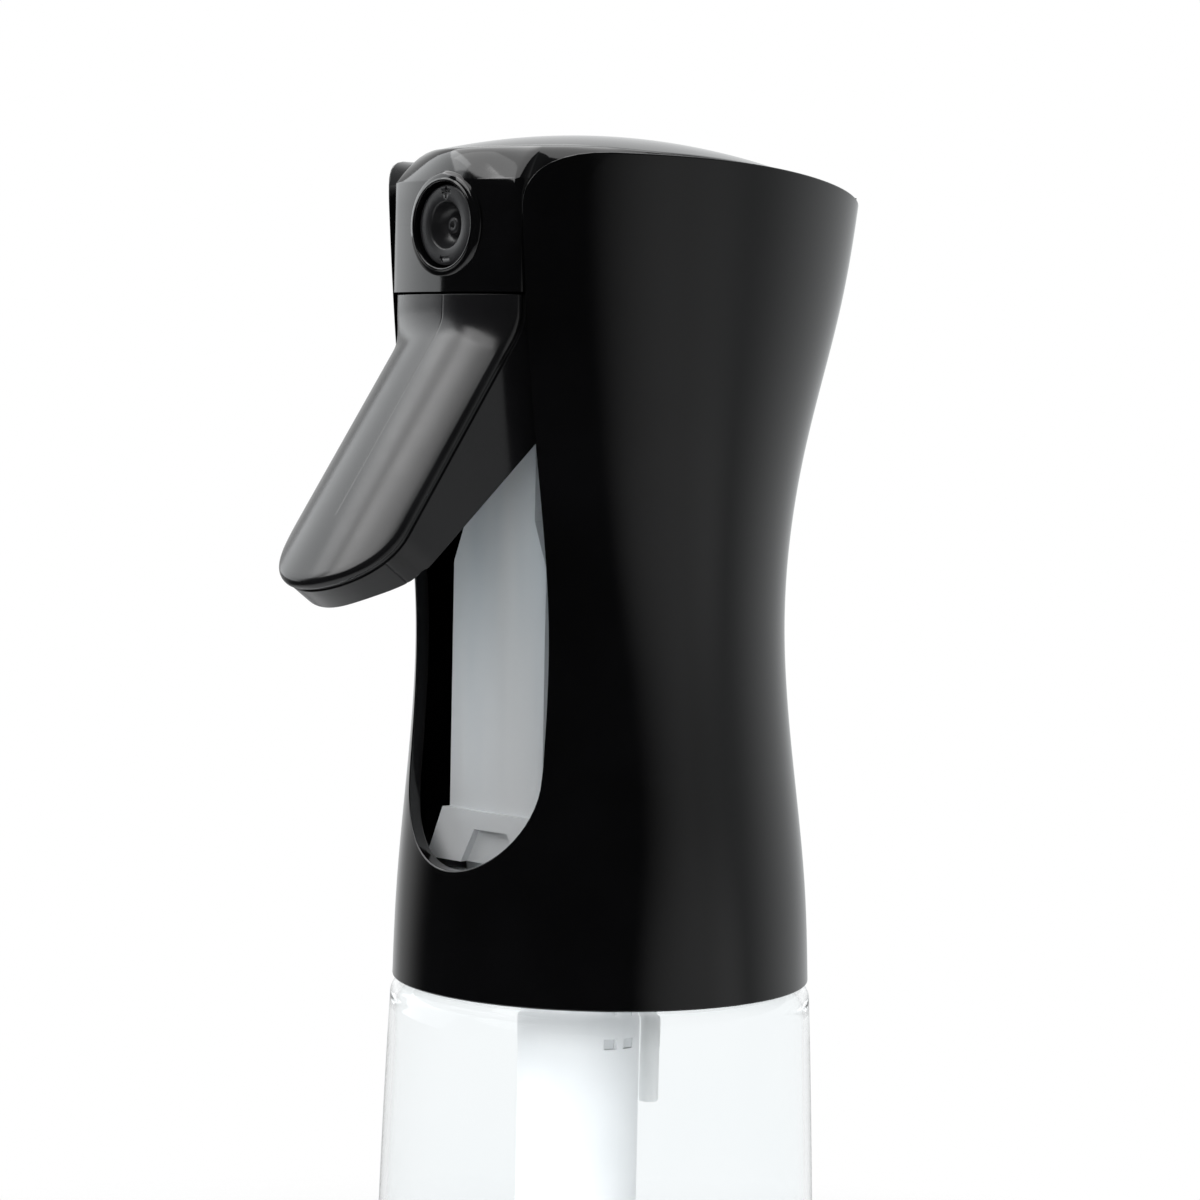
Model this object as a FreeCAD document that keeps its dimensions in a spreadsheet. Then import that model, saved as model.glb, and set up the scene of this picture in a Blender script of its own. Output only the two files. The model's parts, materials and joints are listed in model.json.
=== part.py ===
"""Continuous hand mister: a clear bottle under a trigger-worked spray head.

Millimetres.  The origin is the middle of the bottle's foot, +Z is up, and the spray
leaves along -Y.  Heights on the head are measured from the shroud's lower rim (rim_z).
"""
import FreeCAD, Part
import os
import re
import Sketcher

V = FreeCAD.Vector
doc = FreeCAD.newDocument("hand_mister")

# ---------------------------------------------------------------- driving dimensions
DIMENSIONS = {
    # bottle
    "rim_z": 124.0,            # height of the shroud's lower rim above the table
    "foot_inner": 15.0,        # annular foot that the bottle stands on
    "foot_outer": 23.5,
    "base_corner": 6.0,
    "punt_rise": 3.0,          # how far the middle of the base is pushed up
    "barrel_curve": 1650.0,    # the barrel bows out very slightly
    "barrel_base_r": 29.5,
    "barrel_top_r": 28.3,
    "barrel_top_drop": 2.4,
    "shoulder_round": 1.95,
    "shoulder_r": 26.35,
    "shoulder_drop": 0.45,
    "shoulder_curve": 30.0,
    "bottle_wall": 1.0,
    "neck_r": 14.5,
    "neck_bore": 13.0,
    "neck_foot": 4.3,
    "neck_blend": 1.1,
    "lip_rise": 14.2,
    # screw thread shared by the bottle neck and the pump body
    "pitch": 4.0,
    "thread_rise": 6.0,
    "thread_root": 0.85,       # half the tooth's width at its root
    "thread_tip": 0.5,
    "male_start": 5.6,
    "male_crest": 15.75,
    "female_start": 7.6,
    "female_crest": 14.95,
    "skirt_bore": 16.1,
    "skirt_r": 18.3,
    "skirt_low": 4.9,
    "flange_low": 15.2,
    "flange_top": 17.2,
    # neck gasket
    "gasket_bore": 12.7,
    "gasket_r": 15.8,
    "face_gap": 0.05,
    # shroud
    "shroud_wall": 1.8,
    "shroud_top": 108.9,       # highest point of the top edge, above the rim
    "shroud_flat_y": 16.0,     # the top edge is level up to this far in front of the axis
    "shroud_tail_curve": 280.0,
    "slot_half": 13.0,
    "slot_centre": 29.5,
    "slot_corner": 7.0,
    # head cover
    "seam_z": 91.2,
    "cover_gap": 0.4,
    "cover_wall": 1.8,
    "cover_skirt": 99.0,
    "crest_z": 112.4,
    "crest_y": 1.0,
    "dome_long_curve": 156.0,
    "dome_cross_curve": 66.0,
    "face_y": 28.5,            # distance of the nozzle face in front of the axis
    "face_half": 12.6,
    "face_corner": 1.6,
    "bezel_r": 6.9,
    "bezel_proud": 1.75,
    "bezel_bore": 5.5,
    "bezel_depth": 9.0,
    # nozzle
    "nozzle_z": 99.7,
    "nozzle_r": 5.2,
    "nozzle_front": 29.65,
    "nozzle_length": 9.15,
    "nozzle_socket": 4.15,
    "socket_depth": 5.0,
    "hex_corner": 3.15,
    "hex_depth": 2.0,
    "orifice_r": 0.3,
    "mark_offset": 4.05,
    "mark_half": 0.55,
    "mark_line": 0.14,
    "seal_wire": 0.46,
    "seal_sink": 0.38,
    "seal_back": 1.8,
    "swirl_length": 7.0,
    "swirl_flat": 1.7,
    "mark_depth": 0.25,
    "pipe_r": 4.0,
    "pipe_bore": 1.6,
    "pipe_end": 20.6,
    # pump body
    "riser_y": 3.7,            # riser, sleeve and buffer share this axis, in front of Z
    "riser_r": 4.5,
    "riser_bore": 2.0,
    "panel_y": 19.4,
    "panel_half": 9.1,
    "panel_narrow": 6.7,
    "panel_wall": 1.4,
    "panel_depth": 13.0,
    "panel_chamfer_low": 56.0,
    "panel_chamfer_top": 62.0,
    "panel_top": 90.4,
    "panel_ledge": 23.4,
    "flare_half": 12.8,
    "flare_low": 16.4,
    "flare_proud": 0.8,
    "pocket_low_half": 6.4,    # trapezoid window in the flare
    "pocket_top_half": 3.2,
    "pocket_rise": 4.6,
    "web_half": 0.75,
    "boss_wall": 2.2,
    "spigot_r": 7.0,
    "spigot_bore": 5.65,
    "spigot_drop": 11.0,
    "clip_drop": 7.0,
    "clip_rise": 2.0,
    "clip_centre": 1.6,        # the two clips stand this far each side of the sleeve's axis
    "clip_half": 1.0,
    "clip_reach": 7.6,
    "gusset_r": 24.9,
    "gusset_low": 6.0,
    "gusset_top": 14.0,
    "gusset_thick": 1.6,
    # pump
    "pump_y": 9.0,
    "pump_r": 7.2,
    "pump_bore": 6.0,
    "pump_floor": 26.0,
    "pump_top": 62.0,
    "piston_r": 5.85,
    "piston_low": 31.0,
    "piston_top": 36.0,
    "rod_r": 2.5,
    "rod_top": 90.2,
    "crosshead_r": 4.2,
    "crosshead_low": 81.6,
    "gland_low": 58.0,
    "gland_top": 64.5,
    "pump_spring_r": 4.4,
    "pump_spring_wire": 0.5,
    "pump_spring_pitch": 3.4,
    # check valves
    "valve_x": 10.8,
    "valve_r": 4.0,
    "valve_bore": 2.3,
    "valve_seat": 44.0,
    "valve_top": 54.0,
    "ball_r": 2.0,
    "ball_lift": 1.0,
    "fit_gap": 0.02,           # radial room of parts pushed together
    "press_gap": 0.03,
    "plug_head": 2.0,          # thickness of the plugs that close the valve tubes
    "port_r": 0.9,
    # pressure buffer and its tubes
    "sleeve_r": 8.15,
    "sleeve_bore": 7.05,
    "sleeve_top": 14.6,
    "sleeve_drop": 86.0,
    "buffer_r": 5.6,
    "buffer_bore": 4.7,
    "buffer_top": 8.0,
    "buffer_drop": 80.0,
    "buffer_piston_r": 4.5,
    "buffer_piston_low": 12.0,
    "buffer_piston_top": 2.0,
    "buffer_spring_r": 3.55,
    "buffer_spring_wire": 0.45,
    "buffer_spring_pitch": 5.2,
    "dip_r": 2.5,
    "dip_bore": 1.7,
    "dip_end": 6.5,
    "vent_y": 9.6,
    "vent_r": 1.35,
    "vent_bore": 0.75,
    "vent_drop": 18.3,
    # trigger
    "pivot_y": 17.0,
    "pivot_z": 86.0,
    "pin_r": 1.5,
    "pin_half": 10.2,
    "running_gap": 0.07,
    "slot_gap": 0.4,
    "slot_run": 2.4,           # how far the crosshead pin creeps along the arm's slot
    "arm_inner": 8.4,
    "arm_outer": 10.3,
    "arm_half_height": 3.4,
    "tongue_half": 10.6,
    "tongue_lean": 35.0,       # degrees from upright
    "tip_y": 50.8,
    "tip_z": 52.8,
    "tongue_length": 39.2,
    "tongue_bulge": 2.6,
    "tongue_wall": 2.0,
    "lip_depth": 3.0,
    "side_depth": 5.9,
    "top_depth": 11.0,
    "block_half": 11.9,
    "block_y": 28.2,
    "block_low": 84.0,
    "block_top": 90.9,
    "block_wall": 2.2,
}

# Outer sections of the shroud: height above the rim, half width, half depth, shift along Y.
SHROUD_SECTIONS = [
    (0.0, 28.05, 28.05, 0.0),
    (12.0, 27.5, 27.6, -0.15),
    (26.0, 26.0, 26.45, -0.5),
    (48.0, 24.0, 25.35, -1.15),
    (72.0, 24.2, 29.1, -0.7),
    (91.0, 24.6, 34.0, 1.45),
    (113.0, 25.2, 37.15, 2.8),
]

THREAD_TURN = 40       # degrees from X to where both threads start, clear of the round walls' seams

sheet = doc.addObject("Spreadsheet::Sheet", "dims")
for row, (alias, number) in enumerate(DIMENSIONS.items(), start=1):
    sheet.set("A%d" % row, alias)
    sheet.set("B%d" % row, "%g" % number)
    sheet.setAlias("B%d" % row, alias)
for index, section in enumerate(SHROUD_SECTIONS):
    for column, (word, number) in enumerate(zip(("height", "width", "depth", "shift"), section)):
        cell = "%s%d" % ("CDEF"[column], index + 1)
        sheet.set(cell, "%g" % number)
        sheet.setAlias(cell, "section%d_%s" % (index, word))
doc.recompute()


def bind(text):
    """Write an expression with every sheet alias spelt out for FreeCAD."""
    return re.sub(r"(?<![.\w])([a-z][a-z_0-9]*)(?![\w(])", r"dims.\1", text)


def value(text):
    return float(sheet.evalExpression(bind(text)))


# ---------------------------------------------------------------- sketches and features
ORIENTATION = {
    "XY": FreeCAD.Rotation(),
    "XZ": FreeCAD.Rotation(V(1, 0, 0), 90),
    "YZ": FreeCAD.Rotation(V(0, 1, 0), V(0, 0, 1), V(1, 0, 0)),
}


def pin_point(sketch, geometry, end, point):
    """Hold one end of a sketch line at a pair of expressions."""
    for kind, axis, text in (("DistanceX", -2, point[0]), ("DistanceY", -1, point[1])):
        if text == "0":
            sketch.addConstraint(Sketcher.Constraint("PointOnObject", geometry, end, axis))
        else:
            held = Sketcher.Constraint(kind, -1, 1, geometry, end, value(text))
            sketch.setExpression("Constraints[%d]" % sketch.addConstraint(held), bind(text))


def draw_circle(sketch, x, y, radius):
    circle = sketch.addGeometry(Part.Circle(V(value(x), value(y), 0), V(0, 0, 1), value(radius)))
    pin_point(sketch, circle, 3, (x, y))
    held = sketch.addConstraint(Sketcher.Constraint("Radius", circle, value(radius)))
    sketch.setExpression("Constraints[%d]" % held, bind(radius))


def draw_loop(sketch, corners):
    """Closed outline.  A corner is (x, y), or (x, y, turn, radius) where an arc leaves it.

    turn is +1 for an arc that runs counter-clockwise to the next corner, -1 for clockwise.
    """
    ends = []
    for index, corner in enumerate(corners):
        follower = corners[(index + 1) % len(corners)]
        start = V(value(corner[0]), value(corner[1]), 0)
        stop = V(value(follower[0]), value(follower[1]), 0)
        if len(corner) == 2:
            line = sketch.addGeometry(Part.LineSegment(start, stop))
            ends.append((line, 1, 2))
            continue
        turn, radius = corner[2], value(corner[3])
        if turn < 0:
            start, stop = stop, start
        chord = stop - start
        left = V(-chord.y, chord.x, 0).normalize()
        rise = max(radius ** 2 - chord.Length ** 2 / 4, 0) ** 0.5
        centre = (start + stop) * 0.5 + left * rise
        angles = [V(1, 0, 0).getAngle(end - centre) for end in (start, stop)]
        if start.y < centre.y:
            angles[0] = -angles[0]
        if stop.y < centre.y:
            angles[1] = -angles[1]
        arc = Part.ArcOfCircle(Part.Circle(centre, V(0, 0, 1), radius), angles[0], angles[1])
        ends.append((sketch.addGeometry(arc),) + ((1, 2) if turn > 0 else (2, 1)))
    for (line, _, end), (after, start, _) in zip(ends, ends[1:] + ends[:1]):
        sketch.addConstraint(Sketcher.Constraint("Coincident", line, end, after, start))
    for (line, start, _), corner in zip(ends, corners):
        pin_point(sketch, line, start, corner)
        if len(corner) > 2:
            held = sketch.addConstraint(Sketcher.Constraint("Radius", line, value(corner[3])))
            sketch.setExpression("Constraints[%d]" % held, bind(corner[3]))


def fill(sketch, loops):
    for loop in loops:
        if loop[0] == "circle":
            draw_circle(sketch, *loop[1:])
        else:
            draw_loop(sketch, loop)
    return sketch


def place(thing, x="0", y="0", z="0"):
    for axis, text in zip("xyz", (x, y, z)):
        if text != "0":
            thing.setExpression(".Placement.Base." + axis, bind(text))
    return thing


def new_body(label, x="0", y="0", z="0"):
    body = doc.addObject("PartDesign::Body", label)
    body.Label = label
    return place(body, x, y, z)


def body_sketch(body, name, plane, *loops):
    sketch = body.newObject("Sketcher::SketchObject", body.Name + "_" + name)
    origin = next(item for item in body.Origin.OriginFeatures if item.Role == plane + "_Plane")
    sketch.AttachmentSupport = [(origin, "")]
    sketch.MapMode = "FlatFace"
    return fill(sketch, loops)


def revolve(body, name, *loops):
    """Turn an outline of (radius, height) corners about the body's Z axis."""
    sketch = body_sketch(body, name + "_outline", "XZ", *loops)
    turned = body.newObject("PartDesign::Revolution", body.Name + "_" + name)
    turned.Profile = sketch
    turned.ReferenceAxis = (sketch, ["V_Axis"])
    turned.Angle = 360
    return turned


def helix(body, name, pitch, height, *loops, start_turn=0):
    """Sweep an outline of (radius, height) corners up a right-hand helix about Z."""
    sketch = body_sketch(body, name + "_section", "XZ", *loops)
    sketch.AttachmentOffset = FreeCAD.Placement(V(), FreeCAD.Rotation(V(0, 1, 0), start_turn))
    sweep = body.newObject("PartDesign::AdditiveHelix", body.Name + "_" + name)
    sweep.Profile = sketch
    sweep.ReferenceAxis = (sketch, ["V_Axis"])
    sweep.Mode = "pitch-height-angle"
    sweep.LeftHanded = False
    sweep.setExpression("Pitch", bind(pitch))
    sweep.setExpression("Height", bind(height))
    return sweep


def pocket(body, name, plane, depth, level, *loops):
    """Cut an outline both ways from a plane that lies `level` along its normal."""
    sketch = body_sketch(body, name + "_outline", plane, *loops)
    sketch.setExpression(".AttachmentOffset.Base.z", bind(level))
    cut = body.newObject("PartDesign::Pocket", body.Name + "_" + name)
    cut.Profile = sketch
    cut.SideType = "Symmetric"
    cut.setExpression("Length", bind(depth))
    return cut


def rectangle(x0, y0, x1, y1):
    return [(x0, y0), (x1, y0), (x1, y1), (x0, y1)]


def tube_loop(inner, outer, low, top):
    return rectangle(inner, low, outer, top)


# Part tools used inside the boolean-built pieces.
def named(kind, name):
    return doc.addObject("Part::" + kind, name)


def cylinder(name, radius, length, x="0", y="0", z="0", axis="Z"):
    item = named("Cylinder", name)
    item.setExpression("Radius", bind(radius))
    item.setExpression("Height", bind(length))
    if axis == "X":
        item.Placement = FreeCAD.Placement(V(), FreeCAD.Rotation(V(0, 1, 0), 90))
    if axis == "-Y":
        item.Placement = FreeCAD.Placement(V(), FreeCAD.Rotation(V(1, 0, 0), 90))
    return place(item, x, y, z)


def block(name, low, high):
    """Box between two corners, each given as three expressions."""
    item = named("Box", name)
    for key, a, b in zip(("Length", "Width", "Height"), low, high):
        item.setExpression(key, bind("(%s) - (%s)" % (b, a)))
    return place(item, *low)


def prism(name, plane, depth, level, *loops):
    """Outline on a plane, pushed both ways from `level` along the plane's normal."""
    sketch = doc.addObject("Sketcher::SketchObject", name + "_outline")
    sketch.Placement = FreeCAD.Placement(V(), ORIENTATION[plane])
    normal = ORIENTATION[plane].multVec(V(0, 0, 1))
    for axis, share in zip("xyz", normal):
        if abs(share) > 0.5 and level != "0":
            sketch.setExpression(".Placement.Base." + axis, bind("%d * (%s)" % (round(share), level)))
    fill(sketch, loops)
    item = named("Extrusion", name)
    item.Base = sketch
    item.DirMode = "Normal"
    item.Solid = True
    item.Symmetric = True
    item.setExpression("LengthFwd", bind(depth))
    return item


def joined(kind, name, **links):
    """Boolean of other objects; its faces stay as cut, because merging them loses the dome."""
    item = named(kind, name)
    item.Refine = False
    for key, link in links.items():
        setattr(item, key, link)
    return item


def fuse(name, *pieces):
    return joined("MultiFuse", name, Shapes=list(pieces))


def common(name, base, tool):
    return joined("Common", name, Base=base, Tool=tool)


def cut(name, base, tool):
    return joined("Cut", name, Base=base, Tool=tool)


nodes = []


def finish(piece, label):
    piece.Label = label
    nodes.append(piece)


# ---------------------------------------------------------------- bottle
def make_bottle():
    body = new_body("bottle")
    wall = " - bottle_wall"
    lift = " + bottle_wall"
    revolve(body, "shell", [
        ("0", "punt_rise", -1, "(foot_inner ^ 2 + punt_rise ^ 2) / (2 * punt_rise)"),
        ("foot_inner", "0"),
        ("foot_outer", "0", 1, "base_corner"),
        ("barrel_base_r", "base_corner", 1, "barrel_curve"),
        ("barrel_top_r", "rim_z - barrel_top_drop", 1, "shoulder_round"),
        ("shoulder_r", "rim_z - shoulder_drop", 1, "shoulder_curve"),
        ("neck_r + neck_blend", "rim_z + neck_foot - neck_blend", -1, "neck_blend"),
        ("neck_r", "rim_z + neck_foot"),
        ("neck_r", "rim_z + lip_rise"),
        ("neck_bore", "rim_z + lip_rise"),
        ("neck_bore", "rim_z + neck_foot - 2 * bottle_wall"),
        ("shoulder_r" + wall, "rim_z - shoulder_drop" + wall + " - 0.3"),
        ("barrel_top_r" + wall, "rim_z - barrel_top_drop - bottle_wall", -1, "barrel_curve"),
        ("barrel_base_r" + wall, "base_corner" + lift, -1, "base_corner"),
        ("foot_outer", "bottle_wall"),
        ("foot_inner", "bottle_wall", 1, "(foot_inner ^ 2 + punt_rise ^ 2) / (2 * punt_rise)"),
        ("0", "punt_rise" + lift),
    ])
    helix(body, "thread", "pitch", "thread_rise", [
        ("neck_r - 0.2", "rim_z + male_start - thread_root"),
        ("male_crest", "rim_z + male_start - thread_tip"),
        ("male_crest", "rim_z + male_start + thread_tip"),
        ("neck_r - 0.2", "rim_z + male_start + thread_root"),
    ], start_turn=THREAD_TURN)
    finish(body, "bottle")


def make_gasket():
    body = new_body("neck_gasket", z="rim_z")
    revolve(body, "ring", tube_loop("gasket_bore", "gasket_r",
                                    "lip_rise + face_gap", "flange_low - face_gap"))
    finish(body, "neck_gasket")


# ---------------------------------------------------------------- shroud
def shroud_loft(name, inset, first=0):
    """Solid through the shroud's sections from `first` up, each pulled in by `inset`."""
    rings = []
    for index in range(first, len(SHROUD_SECTIONS)):
        key = "section%d_" % index
        ring = named("Ellipse", "%s_ring%d" % (name, index))
        ring.Placement = FreeCAD.Placement(V(), FreeCAD.Rotation(V(0, 0, 1), 90))
        slack = " + %g" % (0.001 * (index == 0))     # an ellipse's major radius stays the larger
        ring.setExpression("MajorRadius", bind(key + "depth - (%s)" % inset + slack))
        ring.setExpression("MinorRadius", bind(key + "width - (%s)" % inset))
        place(ring, y=key + "shift", z="rim_z + " + key + "height")
        rings.append(ring)
    loft = named("Loft", name)
    loft.Sections = rings
    loft.Solid = True
    loft.Ruled = len(rings) == 2
    return loft


def make_shroud():
    skin = shroud_loft("shroud_skin", "0")
    hollow = shroud_loft("shroud_hollow", "shroud_wall")
    level = "rim_z + shroud_top"
    tail = "shroud_tail_curve - sqrt(shroud_tail_curve ^ 2 - (45 + shroud_flat_y) ^ 2)"
    above = prism("above_top_edge", "YZ", "80", "0", [
        ("-45", level),
        ("-shroud_flat_y", level, -1, "shroud_tail_curve"),
        ("45", level + " - (%s)" % tail),
        ("45", level + " + 10"),
        ("-45", level + " + 10"),
    ])
    side = "slot_half + slot_corner"
    low = "rim_z + slot_centre"
    window = prism("front_slot", "XZ", "50", "27", [
        ("-slot_half", low, 1, "slot_half"),
        ("0", low + " - slot_half", 1, "slot_half"),
        ("slot_half", low),
        ("slot_half", level + " - slot_corner", -1, "slot_corner"),
        (side, level),
        (side, level + " + 5"),
        ("-(%s)" % side, level + " + 5"),
        ("-(%s)" % side, level, -1, "slot_corner"),
        ("-slot_half", level + " - slot_corner"),
    ])
    shell = cut("shroud_shell", skin, hollow)
    openings = fuse("shroud_openings", above, window)
    finish(cut("shroud", shell, openings), "shroud")


# ---------------------------------------------------------------- head cover
def cover_solid(name, inset, floor, skirt):
    """A lid that fills the shroud's hollow and a nose with the flat nozzle face, both under a dome."""
    plug = shroud_loft(name + "_plug", "shroud_wall + cover_gap + (%s)" % inset, len(SHROUD_SECTIONS) - 2)
    half = "face_half - (%s)" % inset
    front = "face_y - (%s)" % inset
    keep = block(name + "_keep", ("-40", "-(%s)" % front, skirt), ("40", "45", "rim_z + 120"))
    nose = prism(name + "_nose", "XY", "2 * (rim_z + 120 - (%s))" % floor, "rim_z + 120", [
        ("-(%s)" % half, "-(%s) + face_corner" % front, 1, "face_corner"),
        ("-(%s) + face_corner" % half, "-(%s)" % front),
        ("%s - face_corner" % half, "-(%s)" % front, 1, "face_corner"),
        (half, "-(%s) + face_corner" % front),
        (half, "-12"),
        ("-(%s)" % half, "-12"),
    ])
    dome = named("Torus", name + "_dome")
    dome.Placement = FreeCAD.Placement(V(), FreeCAD.Rotation(V(0, 1, 0), 90))
    dome.setExpression("Radius1", bind("dome_long_curve - dome_cross_curve"))
    dome.setExpression("Radius2", bind("dome_cross_curve - (%s)" % inset))
    place(dome, y="crest_y", z="rim_z + crest_z - dome_long_curve")
    return common(name, fuse(name + "_mass", common(name + "_lid", plug, keep), nose), dome)


def make_head_cover():
    outer = cover_solid("cover_outer", "0", "rim_z + seam_z", "rim_z + cover_skirt")
    inner = cover_solid("cover_inner", "cover_wall", "rim_z + seam_z - 5", "rim_z + cover_skirt - 5")
    shell = cut("cover_shell", outer, inner)
    bezel = cylinder("cover_bezel", "bezel_r", "bezel_depth", y="bezel_depth - face_y - bezel_proud",
                     z="rim_z + nozzle_z", axis="-Y")
    bore = cylinder("cover_bore", "bezel_bore", "bezel_depth + 4",
                    y="bezel_depth - face_y + 2 - bezel_proud", z="rim_z + nozzle_z", axis="-Y")
    finish(cut("head_cover", fuse("cover_with_bezel", shell, bezel), bore), "head_cover")


# ---------------------------------------------------------------- pump body
def panel_outline(inset):
    """Front outline of the body's box: wide below, chamfered to a narrow neck above."""
    wide = "panel_half - (%s)" % inset
    narrow = "panel_narrow - (%s)" % inset
    return [
        ("-(%s)" % wide, "rim_z + flare_low"),
        (wide, "rim_z + flare_low"),
        (wide, "rim_z + panel_chamfer_low"),
        (narrow, "rim_z + panel_chamfer_top"),
        (narrow, "rim_z + panel_top - (%s)" % inset),
        ("-(%s)" % narrow, "rim_z + panel_top - (%s)" % inset),
        ("-(%s)" % narrow, "rim_z + panel_chamfer_top"),
        ("-(%s)" % wide, "rim_z + panel_chamfer_low"),
    ]


def make_threaded_skirt():
    skirt = new_body("threaded_skirt")
    revolve(skirt, "wall", [
        ("skirt_bore", "rim_z + skirt_low"),
        ("skirt_r", "rim_z + skirt_low"),
        ("skirt_r", "rim_z + flange_top"),
        ("0", "rim_z + flange_top"),
        ("0", "rim_z + flange_low"),
        ("skirt_bore", "rim_z + flange_low"),
    ])
    helix(skirt, "thread", "pitch", "thread_rise", [
        ("skirt_bore + 0.2", "rim_z + female_start - thread_root"),
        ("skirt_bore + 0.2", "rim_z + female_start + thread_root"),
        ("female_crest", "rim_z + female_start + thread_tip"),
        ("female_crest", "rim_z + female_start - thread_tip"),
    ], start_turn=THREAD_TURN)
    return skirt


def make_gussets():
    ribs = []
    for index in range(4):
        rib = named("Box", "gusset%d" % index)
        rib.setExpression("Length", bind("gusset_r - skirt_r + 1"))
        rib.setExpression("Width", bind("gusset_thick"))
        rib.setExpression("Height", bind("gusset_top - gusset_low"))
        turn = FreeCAD.Rotation(V(0, 0, 1), 45 + 90 * index)
        rib.Placement = FreeCAD.Placement(V(), turn)
        out = turn.multVec(V(1, 0, 0))
        across = turn.multVec(V(0, 1, 0))
        place(rib, "%.6f * (skirt_r - 1) - %.6f * gusset_thick / 2" % (out.x, across.x),
              "%.6f * (skirt_r - 1) - %.6f * gusset_thick / 2" % (out.y, across.y), "rim_z + gusset_low")
        ribs.append(rib)
    return ribs


def clip_pair(name, reach, gap):
    """Two bars side by side through the sleeve's clip windows, `gap` smaller than them all round."""
    bars = []
    for index, side in enumerate((-1, 1)):
        middle = "-riser_y + %d * clip_centre" % side
        floor = "rim_z - clip_drop - clip_rise / 2 + " + gap
        roof = "rim_z - clip_drop + clip_rise / 2 - " + gap
        low = ("-(%s)" % reach, "%s - clip_half + %s" % (middle, gap), floor)
        high = (reach, "%s + clip_half - %s" % (middle, gap), roof)
        bars.append(block("%s%d" % (name, index), low, high))
    return bars


def make_pump_body():
    box = prism("panel_box", "XZ", "panel_depth", "panel_y - panel_depth / 2", panel_outline("0"))
    room = prism("panel_room", "XZ", "panel_depth", "panel_y - panel_wall - panel_depth / 2",
                 panel_outline("panel_wall"))
    flare = prism("panel_flare", "XZ", "3", "panel_y + flare_proud - 1.5", [
        ("-flare_half", "rim_z + flare_low"),
        ("flare_half", "rim_z + flare_low"),
        ("panel_half + 0.6", "rim_z + panel_ledge"),
        ("-panel_half - 0.6", "rim_z + panel_ledge"),
    ])
    pocket_tool = prism("flare_pocket", "XZ", "3", "panel_y + flare_proud + 0.4", [
        ("-pocket_low_half", "rim_z + flare_low - 1"),
        ("pocket_low_half", "rim_z + flare_low - 1"),
        ("pocket_top_half", "rim_z + flare_low + pocket_rise"),
        ("-pocket_top_half", "rim_z + flare_low + pocket_rise"),
    ])
    web = block("panel_web", ("-web_half", "-(panel_y - 1)", "rim_z + flange_low"),
                ("web_half", "-riser_y - riser_r + 1", "rim_z + panel_top - 1"))
    boss = cylinder("pivot_boss", "pin_r + boss_wall", "2 * panel_narrow", x="-panel_narrow", y="-pivot_y",
                    z="rim_z + pivot_z", axis="X")
    axis_y = "-riser_y"
    riser = cylinder("riser", "riser_r", "nozzle_z + pipe_r + 0.6 - flange_low", y=axis_y,
                     z="rim_z + flange_low")
    pipe = cylinder("nozzle_pipe", "pipe_r", "pipe_end - riser_y", y=axis_y,
                    z="rim_z + nozzle_z", axis="-Y")
    spigot = cylinder("spigot", "spigot_r", "spigot_drop + flange_low + 1", y=axis_y,
                      z="rim_z - spigot_drop")
    tabs = clip_pair("clip_tab", "clip_reach", "running_gap")
    vent_boss = cylinder("vent_boss", "vent_r + 1", "5", y="vent_y", z="rim_z + flange_low - 4")
    pump = cylinder("pump_tube", "pump_r", "pump_top - flange_low", y="pump_y", z="rim_z + flange_low")
    valves = []
    bores = []
    for side, name in ((-1, "inlet"), (1, "outlet")):
        x = "%d * valve_x" % side
        valves.append(cylinder(name + "_valve_tube", "valve_r", "valve_top - flange_low", x, "pump_y",
                               "rim_z + flange_low"))
        bores.append(cylinder(name + "_valve_bore", "valve_bore", "valve_top - valve_seat + 1", x, "pump_y",
                              "rim_z + valve_seat"))
        bores.append(cylinder(name + "_seat_bore", "valve_bore / 2", "valve_seat - flange_top", x, "pump_y",
                              "rim_z + flange_top + 1"))
        level = "rim_z + valve_seat" + (" + 2.4" if name == "inlet" else " - 2.4")
        bores.append(cylinder(name + "_port", "port_r", "valve_x", "%s" % ("-valve_x" if side < 0 else "0"),
                              "pump_y", level, axis="X"))
    bores.append(cylinder("pump_chamber", "pump_bore", "pump_top - pump_floor + 1", y="pump_y",
                          z="rim_z + pump_floor"))
    bores.append(cylinder("pump_breather", "1.5", "pump_floor", y="pump_y", z="rim_z + flange_top - 3"))
    bores.append(cylinder("riser_channel", "riser_bore", "nozzle_z - flange_low + riser_bore", y=axis_y,
                          z="rim_z + flange_low"))
    bores.append(cylinder("pipe_channel", "pipe_bore", "pipe_end - riser_y + 1", y=axis_y,
                          z="rim_z + nozzle_z", axis="-Y"))
    bores.append(cylinder("spigot_channel", "spigot_bore", "spigot_drop + flange_low", y=axis_y,
                          z="rim_z - spigot_drop - 1"))
    bores.append(cylinder("vent_socket", "vent_r + fit_gap", "8", y="vent_y", z="rim_z + flange_low - 5"))
    bores.append(cylinder("pivot_bore", "pin_r + fit_gap", "2 * panel_narrow + 2", "-panel_narrow - 1",
                          "-pivot_y", "rim_z + pivot_z", axis="X"))
    groove = named("Torus", "seal_groove")
    groove.Placement = FreeCAD.Placement(V(), FreeCAD.Rotation(V(1, 0, 0), 90))
    groove.setExpression("Radius1", bind("pipe_r - seal_sink"))
    groove.setExpression("Radius2", bind("seal_wire + 0.06"))
    place(groove, y="-(pipe_end - seal_back)", z="rim_z + nozzle_z")
    bores.append(groove)
    walls = cut("panel_walls", fuse("panel_mass", box, flare), fuse("panel_rooms", room, pocket_tool))
    pieces = [make_threaded_skirt(), walls, web, boss, riser, pipe, spigot, vent_boss, pump]
    mass = fuse("pump_body_mass", *(pieces + valves + tabs + make_gussets()))
    finish(cut("pump_body", mass, fuse("pump_body_bores", *bores)), "pump_body")


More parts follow.
